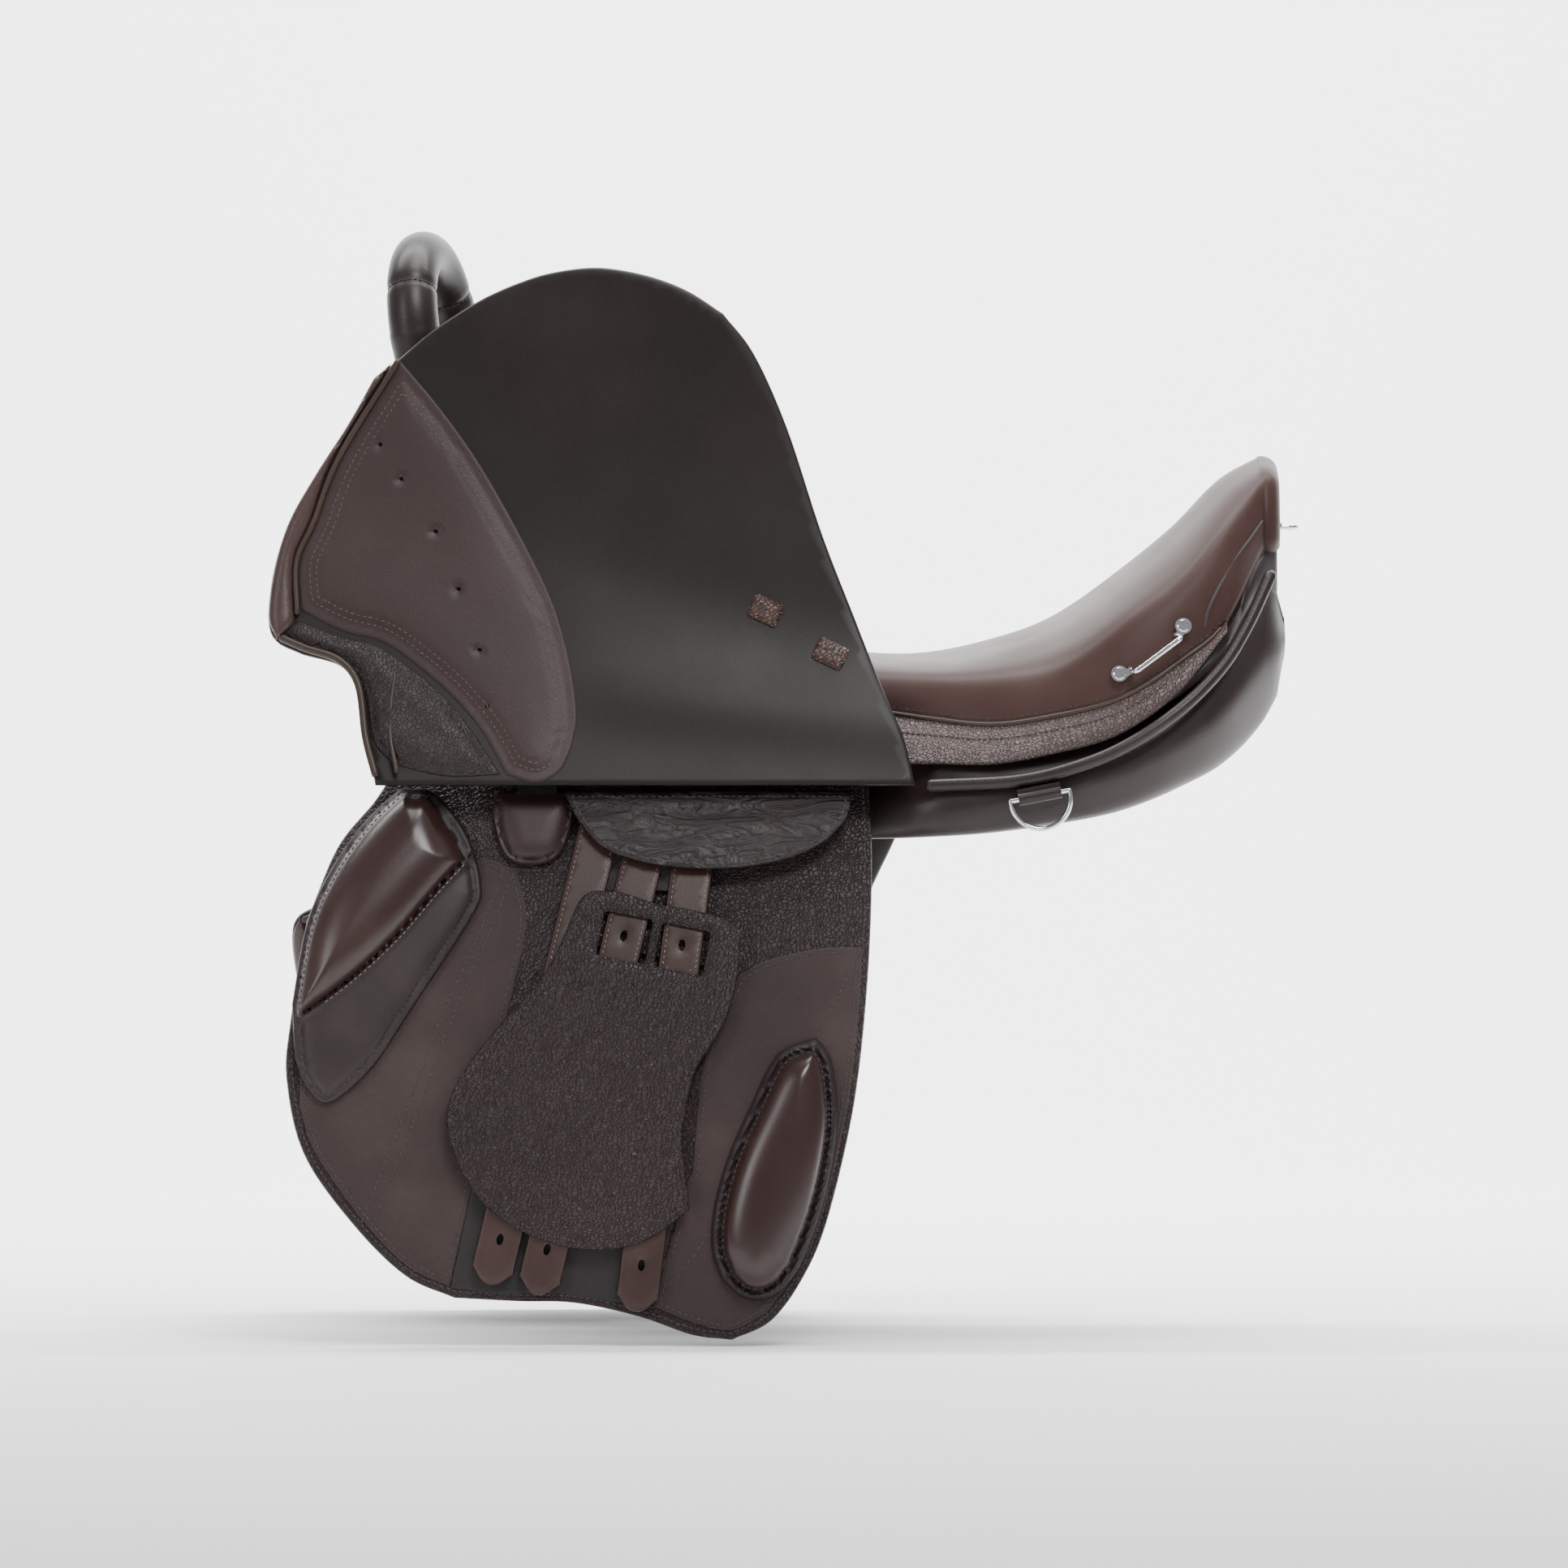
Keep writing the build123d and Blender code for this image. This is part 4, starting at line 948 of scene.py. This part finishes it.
def line_distance(points, line):
    """Distance to an open line, positive on its left."""
    best = np.full(len(points), 1e9)
    side = np.ones(len(points))
    for p, q in zip(line[:-1], line[1:]):
        d = q - p
        t = np.clip(((points - p) @ d) / max(d @ d, 1e-9), 0, 1)[:, None]
        gap = points - (p + t * d)
        length = np.linalg.norm(gap, axis=1)
        nearer = length < best
        cross = d[0] * (points[:, 1] - p[1]) - d[1] * (points[:, 0] - p[0])
        best = np.where(nearer, length, best)
        side = np.where(nearer, np.sign(cross), side)
    return best * side


def dome(depth, width, power=2.2):
    """Rise from 0 at the edge to 1 at a width inside it, as stuffed leather does."""
    t = np.clip(depth / width, 0, 1)
    return (1 - (1 - t) ** power) ** (1 / power)


def smoothstep(t):
    t = np.clip(t, 0, 1)
    return t * t * (3 - 2 * t)


def knee_rise(points, depth):
    """A full upper part, a sunken seam along its ridge, and a flatter lower part inside a sewn rim."""
    gap = line_distance(points, RIDGE)
    cushion = np.minimum(np.maximum(-gap, 0), depth - 3 - 5 * smoothstep((points[:, 0] + 285) / 14))
    body = 5.0 + 16.5 * dome(cushion, 27, 2.0) + 3.6 * dome(depth - 6, 16) * (gap > 0)
    body = body + 1.5 * np.exp(-((gap - 1.8) / 1.5) ** 2) - 0.9 * np.exp(-((gap + 0.4) / 0.9) ** 2)
    groove = 0.8 * np.exp(-((depth - 4.5) / 1.0) ** 2)
    return np.maximum(0.6, (body - groove) * (0.35 + 0.65 * dome(depth, 2.6)))


def knee_rim(points, depth):
    return (line_distance(points, RIDGE) > -0.5) | (depth < 3 + 5 * smoothstep((points[:, 0] + 285) / 14))


def thigh_rim(points, depth):
    return depth < 7


def thigh_rise(points, depth):
    """An oval cushion with a sewn edge all round it."""
    body = 4.2 + 14.5 * dome(depth - 6, 26)
    groove = 1.6 * np.exp(-((depth - 7) / 1.4) ** 2)
    welt = 1.6 * np.exp(-((depth - 3.2) / 1.5) ** 2)
    return np.maximum(0.6, (body - groove + welt) * (0.35 + 0.65 * dome(depth, 2.4)))


pair("knee_block", barrel_piece(KNEE, PATCH_TOP, knee_rise, BLOCK_HIDE, spacing=1.8,
                                rim=(RIM_HIDE, knee_rim)),
     "root")
pair("thigh_block", barrel_piece(THIGH, PATCH_TOP, thigh_rise, BLOCK_HIDE, spacing=1.9,
                                 rim=(RIM_HIDE, thigh_rim)),
     "root")
print("blocks done")

# %% Billets, apron, point pocket and buckle guard
BILLET_LOW, BILLET_T, STITCH_SINK = 7.3, 4.0, 0.25
BILLETS = {
    "first": ((-172, -8), (-241, -297)), "second": ((-141.5, -8), (-213, -303)),
           "third": ((-115.5, -8), (-153.5, -313)),
}


def strap(top, tip, width=25.0, holes=9, pitch=24.0):
    """A strap's outline with a rounded tip, its holes, and its own frame."""
    top, tip = np.array(top, float), np.array(tip, float)
    length = float(np.linalg.norm(tip - top))
    along = (tip - top) / length
    across = np.array([-along[1], along[0]])
    half = width / 2
    local = [(0, -half)] + [(t, -half) for t in np.arange(4, length - 9, 4)]
    local += [tuple(p) for p in catmull([(length - 9, -half), (length - 2, -half * 0.45), (length, 0),
                                         (length - 2, half * 0.45), (length - 9, half)], 1.5)]
    local += [(t, half) for t in np.arange(length - 13, 0, -4)] + [(0, half)]
    local += [(0, t) for t in np.linspace(half, -half, 8)[1:-1]]
    def place(points):
        points = np.asarray(points, float)
        return top + points[:, :1] * along + points[:, 1:] * across
    angles = np.linspace(0, 2 * pi, 18, endpoint=False)
    ovals = [place(np.column_stack([length - 28 - k * pitch + 3.5 * np.cos(angles),
                                    2.1 * np.sin(angles)])) for k in range(holes)]
    return place(local), ovals, place, length


for label, (top, tip) in BILLETS.items():
    loop, ovals, place, length = strap(top, tip)
    pair(f"{label}_billet", barrel_piece(loop, BILLET_LOW, rounded(BILLET_T, 1.4), BILLET_HIDE, spacing=4.0,
                                         holes=ovals, rings=(0.6, 1.5), hole_lip=0.5), "root")
    edge = [place([(2, s * 9.8), (99, s * 9.8)]) for s in (-1, 1)]
    edge += [place([(99, -9.8), (108, 0), (99, 9.8)])]
    rows = [resample(line, 40) for line in edge]
    sew_pair(f"{label}_billet", on_barrel, rows, BILLET_LOW + BILLET_T - STITCH_SINK, "root",
             "billet_leather", thread=LIGHT_THREAD,
             pitch=3.4, length=2.4, width=0.9)

APRON = outline([
    [(-198, -2), (-24, -2)],
    [(-24, -2), (-27, -17), (-40, -32), (-60, -42), (-88, -48), (-120, -49), (-148, -46)],
    [(-148, -46), (-173, -37), (-189, -20), (-198, -2)],
])
POCKET = outline([
    [(-240, -2), (-192, -2)],
    [(-192, -2), (-192, -20), (-200, -41), (-216, -47), (-233, -42), (-241, -20), (-240, -2)],
])
GUARD = outline([
    [(-189, -70), (-182, -63), (-164, -63), (-141, -70), (-118, -74), (-98, -80), (-91, -86)],
    [(-91, -86), (-92, -106), (-96, -128), (-104, -147), (-118, -170), (-124, -196), (-126, -212),
     (-121, -252)],
    [(-121, -252), (-140, -266), (-155, -273), (-174, -276), (-196, -274), (-222, -265), (-245, -248),
     (-258, -229)],
    [(-258, -229), (-265, -209), (-266, -192), (-258, -172), (-240, -148), (-220, -126), (-204, -104),
     (-189, -70)],
])


def turned_box(centre, width, height, degrees_turned, step=2.5):
    """A turned rectangle with small rounded corners."""
    c, s = cos(radians(degrees_turned)), sin(radians(degrees_turned))
    w, h, r = width / 2, height / 2, 2.2
    points = []
    for cx, cy, start in ((w - r, h - r, 0), (-w + r, h - r, 90), (-w + r, -h + r, 180),
                          (w - r, -h + r, 270)):
        for a in np.linspace(start, start + 90, 5):
            points.append((cx + r * cos(radians(a)), cy + r * sin(radians(a))))
    loop = resample(np.vstack([points, points[:1]]), int(2 * (width + height) / step))[:-1]
    return np.column_stack([centre[0] + loop[:, 0] * c - loop[:, 1] * s,
                            centre[1] + loop[:, 0] * s + loop[:, 1] * c])


WINDOWS = [(-160.5, -90), (-126, -97)]
WINDOW_TURN = 11
BRIDGE_SIZE, BRIDGE_LOW, BRIDGE_THICK, BRIDGE_FLAT = (33.6, 15), 5.25, 1.5, 14.6
GUARD_LOW, GUARD_SEAM = 11.8, 14.1
APRON_LOW, APRON_SEAM = 15.1, 17.6
guard_holes = [turned_box(centre, 30, 27, -WINDOW_TURN) for centre in WINDOWS]


def pocket_rise(points, depth):
    body = 2.6 + 6.4 * dome(depth - 4, 14)
    return (body + 1.3 * np.exp(-((depth - 2.4) / 1.3) ** 2)) * (0.35 + 0.65 * dome(depth, 2.0))


def guard_rise(points, depth):
    return rounded(2.8, 1.6)(points, depth) - 0.5 * np.exp(-((depth - 4.2) / 0.9) ** 2)


pair("apron", barrel_piece(APRON, APRON_LOW, rounded(2.5), CREASED_HIDE, spacing=3.0), "root")
pair("point_pocket", barrel_piece(POCKET, PATCH_TOP, pocket_rise, LINING_HIDE, spacing=2.2), "root")
print("billets, aprons and pockets done")


def make_guard(name, finish):
    """The plate with its windows, and a bridge that drops behind the billet at each window."""
    plate = mould(name, GUARD, on_barrel, GUARD_LOW, guard_rise, GUARD_HIDE, spacing=3.0, holes=guard_holes,
                  finish=finish)
    c, s = cos(radians(WINDOW_TURN)), sin(radians(WINDOW_TURN))
    for number, centre in enumerate(WINDOWS):
        flat, triangles = fill_outline(turned_box(centre, *BRIDGE_SIZE, -WINDOW_TURN, step=1.2), 2.0,
                                       rings=(0.6,))
        across = np.abs((flat[:, 0] - centre[0]) * c - (flat[:, 1] - centre[1]) * s)
        height = BRIDGE_LOW + 7.0 * smoothstep((across - BRIDGE_FLAT) / 2.2)
        top = on_barrel(flat[:, 0], flat[:, 1], height + BRIDGE_THICK)
        back = on_barrel(flat[:, 0], flat[:, 1], height)
        vertices = np.vstack([top, back])
        vertices = finish(vertices) if finish else vertices
        faces = sheet_faces(triangles, len(flat))
        bridge = link_mesh(f"{name}_bridge_{number}", vertices, faces, GUARD_HIDE)
        dress(bridge, "near_guard_body" if "near" in name else "off_guard_body")
    return plate


pair("buckle_guard", make_guard, "SIDE_guard_body")

# %% [markdown]
# ## The flaps
# The near flap is lifted, so its smooth underside is in view, with the padded lining of the knee roll.
# The off flap is the same leather folded down. Its edge is rounded, and a broad swell runs along the fold.

# %% Flaps
FLAP = outline([
    [(-311, 1), (14, 1)],
    [(14, 1), (7, 30), (-8, 66), (-22, 102), (-42, 154), (-63, 218), (-83, 263), (-102, 288)],
    [(-102, 288), (-122, 301), (-141, 309), (-161, 314), (-180, 316), (-200, 314), (-220, 309), (-248, 297),
     (-278, 278), (-298, 261)],
    [(-298, 261), (-313, 249)],
    [(-313, 249), (-330, 220), (-349, 190), (-365, 161), (-374, 132), (-377, 102), (-372, 88), (-356, 80)],
    [(-356, 80), (-333, 73), (-321, 59), (-317, 29), (-311, 1)],
])
LINING = outline([
    [(-298, 259), (-273, 229), (-249, 195), (-224, 151), (-205, 112), (-195, 78), (-190, 44), (-193, 24)],
    [(-193, 24), (-200, 10), (-214, 3), (-232, 8)],
    [(-232, 8), (-247, 34), (-264, 54), (-283, 71), (-307, 88), (-332, 95), (-358, 108)],
    [(-358, 108), (-359, 137), (-349, 161), (-334, 200), (-298, 259)],
])
KNEE_PAD = outline([
    [(-236, 8), (-253, 34), (-270, 54), (-287, 69), (-311, 85), (-334, 91), (-360, 101)],
    [(-360, 101), (-366, 96), (-362, 89), (-350, 84), (-330, 76), (-318, 58), (-312, 28), (-300, 14)],
    [(-300, 14), (-268, 7), (-236, 8)],
])


def flap_piece(loop, low, rise, material, **options):
    """A maker of near and off pieces on the flap."""
    def make(name, finish):
        return mould(name, loop, on_flap, low, rise, material, finish=finish, **options)
    return make


def lining_rise(points, depth):
    """Sewn flat at its edge, then gently stuffed."""
    body = 1.0 + 2.4 * dome(depth - 6, 30)
    groove = 0.7 * np.exp(-((depth - 7.5) / 1.2) ** 2) + 0.5 * np.exp(-((depth - 11.5) / 1.0) ** 2)
    return (body - groove) * (0.4 + 0.6 * dome(depth, 1.6))


def puff_rise(points, depth):
    body = 1.4 + 4.8 * dome(depth - 3, 16)
    soft = 0.7 * np.sin(points[:, 0] * 0.16 + 0.6) * np.sin(points[:, 1] * 0.19) * np.clip(depth / 12, 0, 1)
    return (body + soft) * (0.4 + 0.6 * dome(depth, 2.0))


pair("flap", flap_piece(FLAP, -FLAP_THICK, rounded(FLAP_THICK, 2.2), FLAP_HIDE, spacing=5.0),
     "SIDE_flap_body", flap=True)
VENTS = [(-310, 208), (-297, 187), (-276, 155), (-262, 120), (-249, 83), (-244, 49)]
vent_angles = np.linspace(0, 2 * pi, 12, endpoint=False)
vent_loops = [np.column_stack([x + 1.3 * np.cos(vent_angles), z + 1.3 * np.sin(vent_angles)]) for x,
              z in VENTS]
pair("knee_lining", flap_piece(LINING, 0, lining_rise, LINING_HIDE, spacing=2.8, holes=vent_loops,
                               hole_lip=9.0),
     "SIDE_flap_body", flap=True)
pair("knee_pad", flap_piece(KNEE_PAD, 0, puff_rise, PAD_HIDE, spacing=2.4), "SIDE_flap_body",
     flap=True)

KNEE_ROLL = outline([
    [(-303, 258), (-314, 248.5)],
    [(-314, 248.5), (-330, 220), (-349, 190), (-365, 161), (-373.5, 132), (-376.5, 103), (-371.5, 89)],
    [(-371.5, 89), (-361, 99)],
    [(-361, 99), (-361.5, 137), (-352, 161), (-338, 200), (-303, 258)],
])


def roll_rise(points, depth):
    return 0.8 + 4.4 * dome(depth, 7, 2.0)


def keeper_rise(points, depth):
    return 1.0 + 2.6 * dome(depth - 0.6, 4.0)


pair("knee_roll", flap_piece(KNEE_ROLL, 0, roll_rise, SHEEN_ROLL_HIDE, spacing=2.0), "SIDE_flap_body",
     flap=True)


def make_keepers(name, finish):
    pieces = [mould(f"{name}_{number}", turned_box(centre, 20, 15, -25), on_flap, -0.3, keeper_rise,
                    KEEPER_HIDE,
                    spacing=1.5, finish=finish) for number, centre in enumerate([(-76, 107), (-37, 81)])]
    return join(name, pieces)


pair("flap_keepers", make_keepers, "SIDE_flap_body", flap=True)

ROLLED_EDGES = {
    "knee_roll_welt": (catmull([(-300, 258), (-335, 200), (-350, 161), (-360, 137), (-359.5, 106)], 3.0),
                       2.6, 1.9),
    "knee_pad_welt": (catmull([(-368, 90), (-354, 84), (-334, 77), (-322, 62), (-317, 30), (-311, 8)], 3.0),
                      2.4, 2.4),
    "knee_pad_inner_welt": (catmull([(-300, 66), (-302, 50), (-302, 30), (-298, 10)], 3.0), 4.6, 1.6),
}
for label, (line, height, radius) in ROLLED_EDGES.items():
    for side in ("near", "off"):
        path = seam_on(on_flap, line, height)
        welt = tube(f"{side}_{label}", off_flap(path) if side == "off" else path, radius, PIPING_HIDE,
                    sides=12)
        dress(welt, f"{side}_flap_body")
print("flaps done")

# %% Seams
def shrink(loop, distance):
    return closed(inset(loop, distance))


def lining_height(distance):
    return lining_rise(np.zeros((1, 2)), np.array([distance]))[0]


sew_pair("knee_lining_a", on_flap, [shrink(LINING, 7.5)], lining_height(7.5), "SIDE_flap_body",
         "lining_leather",
         flap=True, thread=MID_THREAD, pitch=3.8, length=2.7, width=1.0)
sew_pair("knee_lining_b", on_flap, [shrink(LINING, 11.5)], lining_height(11.5), "SIDE_flap_body",
         "lining_leather",
         flap=True, thread=MID_THREAD, pitch=3.8, length=2.7, width=1.0)
sew_pair("sweat_flap", on_barrel, [shrink(SWEAT, 4.0)], SHEET + 0.05, "root", "grained_leather", pitch=4.0)
for label, loop in (("front_suede_patch", FRONT_PATCH), ("rear_suede_patch", REAR_PATCH)):
    sew_pair(label, on_barrel, [shrink(loop, 3.0)], PATCH_TOP, "root", "suede", pitch=4.0)
sew_pair("buckle_guard", on_barrel, [shrink(GUARD, 4.2)], GUARD_SEAM, "SIDE_guard_body", "embossed_leather",
         pitch=4.0)
sew_pair("apron", on_barrel, [shrink(APRON, 3.4)], APRON_SEAM, "root", "grained_leather", pitch=4.0)


def sew_raised(label, line, rise, loop, low, body, slot, **thread):
    """Stitches that follow a raised face: each point takes the face's own height."""
    line = np.asarray(line, float)
    height = low + rise(line, edge_distance(line, loop))
    rows = on_barrel(line[:, 0], line[:, 1], height)
    for side in ("near", "off"):
        sew(f"{side}_{label}_stitches", [off_barrel(rows) if side == "off" else rows], body, slot, **thread)


ridge_line = RIDGE[5:-8] + np.array([0.9, -1.6])
sew_raised("knee_ridge", ridge_line, knee_rise, KNEE, PATCH_TOP, "root", "block_leather",
           thread=LIGHT_THREAD,
           pitch=3.6, length=2.4, width=0.8)
sew_raised("knee_edge", closed(inset(KNEE, 4.5)), knee_rise, KNEE, PATCH_TOP, "root", "block_leather",
           pitch=3.8, length=2.6)
sew_raised("thigh_edge", closed(inset(THIGH, 7.0)), thigh_rise, THIGH, PATCH_TOP, "root", "block_leather",
           pitch=3.8)

patch_seams = [catmull([(-234, -50), (-250, -92), (-270, -137), (-292, -196), (-317, -259)], 3.0),
               catmull([(-228, -52), (-244, -92), (-264, -139), (-286, -198), (-311, -262)], 3.0)]
sew_pair("front_patch_middle", on_barrel, patch_seams, PATCH_TOP, "root", "suede", pitch=4.2)
corner_seams = [catmull([(-19, -101), (-32, -124), (-45, -148)], 3.0),
                catmull([(-111, -268), (-119, -280), (-127, -291)], 3.0)]
sew_pair("rear_patch_corners", on_barrel, corner_seams, PATCH_TOP, "root", "suede", pitch=4.2)

BASE_STRIP = outline([
    [(-251, -236), (-124, -236)],
    [(-124, -236), (-145.5, -309.2)],
    [(-145.5, -309.2), (-170, -307), (-200, -302.5), (-235, -302.5), (-264, -299)],
    [(-264, -299), (-251, -236)],
])
pair("base_strip", barrel_piece(BASE_STRIP, SHEET - 0.05, rounded(0.9, 1.0), CHARCOAL_HIDE), "root")

# %% Seams and welts of the seat
SEAT_ROWS = smooth_table(SEAT_STATIONS, 300)


def seat_side(x, z):
    """Near-side Y of the seat's cover at a station and height."""
    row = SEAT_ROWS[np.argmin(np.abs(SEAT_ROWS[:, 0] - x))]
    curve = seat_curve(row)
    half = curve[:len(curve) // 2]
    return float(half[np.argmin(np.abs(half[:, 1] - z)), 0])


def both_tubes(label, path, radius, material, body, sides=12):
    for side in ("near", "off"):
        line = off_barrel(path) if side == "off" else path
        dress(tube(f"{side}_{label}", line, radius, material, sides=sides), body)


def both_rows(label, rows, slot, **thread):
    for side in ("near", "off"):
        sew(f"{side}_{label}_stitches", [off_barrel(r) if side == "off" else r for r in rows], "root", slot,
            **thread)


seam_rows = SKIRT_ROWS[(SKIRT_ROWS[:, 0] > -258) & (SKIRT_ROWS[:, 0] < 201)]
seat_seam = np.array([skirt_point(row, 0.0, 0.6) for row in seam_rows])
both_tubes("seat_seam_welt", seat_seam, 1.5, PIPING_HIDE, "root")
above = np.array([(row[0], seat_side(row[0], row[2] + 3.6) - 0.2, row[2] + 3.6) for row in seam_rows])
both_rows("seat_seam", [above], "seat_leather", pitch=4.2, length=2.8, width=0.8)
skirt_line = np.array([skirt_point(row, 0.36, 0.1) for row in seam_rows if -240 < row[0] < 168])
both_rows("skirt_middle", [skirt_line], "embossed_leather", pitch=3.4, length=3.0, width=1.1)
skirt_edge_line = np.array([skirt_point(row, 0.93, 0.1) for row in seam_rows])
both_rows("skirt_edge", [skirt_edge_line], "embossed_leather", pitch=4.0, length=2.8, width=0.8)
cantle_line = [(189.5, 98), (191, 106), (197, 119), (208, 138), (218, 151), (226, 162)]
cantle_path = catmull([(x, seat_side(x, z) - 0.2, z) for x, z in cantle_line], 3.0)
both_tubes("cantle_seam", cantle_path, 0.8, DARK_THREAD, "root", sides=8)
welt_stitch = catmull([(x, -y - 3.2, z + 2.2) for x, y, z in WELT_LINE], 3.0)
both_rows("panel_welt", [welt_stitch], "panel_leather", pitch=4.0, length=2.8, width=0.8)

# %% [markdown]
# ## The grab handle
# The handle is a steel bow sleeved in leather. The sleeve is cut in three, so a sewn ring shows on each
# side of the arch, and it narrows toward the washers on the pommel.

# %% Grab handle
HANDLE_FOOT = np.array([-262.0, 0.0, 153.0])
HANDLE_ACROSS = np.array([11.0, 46.0, 0.0])
HANDLE_R = float(np.linalg.norm(HANDLE_ACROSS))
HANDLE_ACROSS /= HANDLE_R
HANDLE_UP = np.array([-sin(radians(8)), 0, cos(radians(8))])
HANDLE_LEG = 128.0


def handle_path():
    legs = np.arange(3.5, HANDLE_LEG, 2.5)
    turn = np.linspace(0, pi, 61)
    flat = [(-HANDLE_R, y) for y in legs]
    flat += [(-HANDLE_R * cos(a), HANDLE_LEG + HANDLE_R * sin(a)) for a in turn]
    flat += [(HANDLE_R, y) for y in legs[::-1]]
    flat = np.array(flat)
    return HANDLE_FOOT + flat[:, :1] * HANDLE_ACROSS + flat[:, 1:] * HANDLE_UP, flat


handle_line, handle_flat = handle_path()
ring_height = HANDLE_LEG + 24
handle_radius = 15.4 - 3.6 * smoothstep((HANDLE_LEG + 6 - handle_flat[:, 1]) / 110)
handle_radius += 0.35 * np.sin(np.arange(len(handle_flat)) * 0.55) * (handle_flat[:, 1] < HANDLE_LEG)
handle_radius -= 1.3 * np.exp(-((handle_flat[:, 1] - ring_height) / 1.6) ** 2)
grip = tube("handle_grip_leather", handle_line, handle_radius, PANEL_HIDE, sides=40, taper=False)
dress(grip, "root", "handle_grip")
normal_side = np.cross(HANDLE_ACROSS, HANDLE_UP)
hoops = []
for index in np.flatnonzero(np.abs(handle_flat[:, 1] - ring_height) < 1.3):
    centre, step = handle_line[index], handle_line[min(index + 1,
                                                       len(handle_line) - 1)] - handle_line[index - 1]
    step /= np.linalg.norm(step)
    out = np.cross(step, normal_side)
    angle = np.linspace(0, 2 * pi, 41)
    hoops.append(centre + 14.6 * (np.outer(np.cos(angle), out) + np.outer(np.sin(angle), normal_side)))
sew("handle_ring_stitches", hoops, "root", "lining_leather", pitch=3.2, length=2.3, width=0.9)
for number, sign in enumerate((-1, 1)):
    heights = np.arange(8, HANDLE_LEG + 10, 4)
    leg = np.array([HANDLE_FOOT + sign * HANDLE_R * HANDLE_ACROSS + y * HANDLE_UP for y in heights])
    inner = np.array([12.3 if y > 60 else 11.6 for y in heights])
    outward = -sign * HANDLE_ACROSS * 0.35 - normal_side * 0.94 * np.sign(normal_side[0]) * -1
    welt = tube(f"handle_welt_{number}", leg + inner[:, None] * outward, 1.3, PIPING_HIDE, sides=10)
    dress(welt, "root")
print("handle done")
print("seams done")

# %% Room: floor, light and camera
floor_mesh = bpy.data.meshes.new("floor")
z_floor = cad_box[0][2] - 0.004
bend = [(2.2 + 1.2 * sin(a), 1.2 - 1.2 * cos(a)) for a in np.linspace(0.1, pi / 2, 14)]
sweep = [(-4.0, 0.0), (2.2, 0.0)] + bend + [(3.4, 5.0)]
floor_points = [(x, y, z_floor + z) for y, z in sweep for x in (-7, 7)]
floor_faces = [(2 * i, 2 * i + 1, 2 * i + 3, 2 * i + 2) for i in range(len(sweep) - 1)]
floor_mesh.from_pydata(floor_points, [], floor_faces)
floor_mesh.shade_smooth()
floor = bpy.data.objects.new("floor", floor_mesh)
bpy.context.collection.objects.link(floor)
floor_material, floor_shader = new_material("floor_paint")
floor_shader.inputs["Base Color"].default_value = (0.93, 0.93, 0.93, 1)
floor_shader.inputs["Roughness"].default_value = 0.9
facing = add_node(floor_material, "ShaderNodeNewGeometry")
clear = add_node(floor_material, "ShaderNodeBsdfTransparent")
one_sided = add_node(floor_material, "ShaderNodeMixShader", {0: facing.outputs["Backfacing"],
                                                             1: floor_shader.outputs[0],
                                                             2: clear.outputs[0]})
floor_material.node_tree.links.new(one_sided.outputs[0],
                                   floor_material.node_tree.nodes["Material Output"].inputs["Surface"])
floor_mesh.materials.append(floor_material)

world = bpy.data.worlds.new("studio")
world.use_nodes = True
world.node_tree.nodes["Background"].inputs[0].default_value = (0.95, 0.97, 1.0, 1)
world.node_tree.nodes["Background"].inputs[1].default_value = 0.36
bpy.context.scene.world = world


def area(name, place, aim, size, power):
    lamp = bpy.data.lights.new(name, "AREA")
    lamp.shape = "RECTANGLE"
    lamp.size, lamp.size_y = size
    lamp.energy = power
    holder = bpy.data.objects.new(name, lamp)
    holder.location = place
    holder.rotation_euler = (Vector(aim) - Vector(place)).to_track_quat("-Z", "Y").to_euler()
    bpy.context.collection.objects.link(holder)
    return holder


area("key", (0.7, -2.2, 2.4), (0, 0, 0), (1.4, 0.9), 82)
area("fill", (-2.4, -2.2, 1.2), (0, 0, 0), (0.8, 1.6), 30)
area("top", (0.2, -0.3, 2.6), (0.1, 0, 0), (1.2, 0.7), 34)
area("wall", (0, 0.9, 3.0), (0, 3.4, 0.9), (5.0, 1.0), 600)
camera_data = bpy.data.cameras.new("camera")
camera_data.lens = 250
camera_data.sensor_width = 36
camera = bpy.data.objects.new("camera", camera_data)
camera.location = (-0.065, -6.7, 0.002)
camera.rotation_euler = (pi / 2, 0, 0)
bpy.context.collection.objects.link(camera)
bpy.context.scene.camera = camera

# %% Finish
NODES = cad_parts
PLAIN = {
    "handle_core": STEEL, "handle_grip": PANEL_HIDE, "handle_washers": CHROME, "head_plate": STEEL,
         "seat_foam": FOAM,
    "seat_webbing": WEBBING, "side_bar_screws": CHROME, "tree_frame": TREE_SHELL, "cantle_back": SEAT_HIDE,
    "cantle_staple": CHROME, "cantle_staple_rivets": CHROME, "flap_roots": FLAP_HIDE, "girth_webs": WEBBING,
    "bar_catch": CHROME, "dee_ring": CHROME, "dee_tab": PANEL_HIDE, "flap_keepers": LINING_HIDE,
         "side_bar": CHROME,
    "stirrup_bar": CHROME,
}
for name, node in NODES.items():
    key = name.replace("near_", "").replace("off_", "")
    if key in PLAIN:
        node.data.materials.clear()
        node.data.materials.append(PLAIN[key])
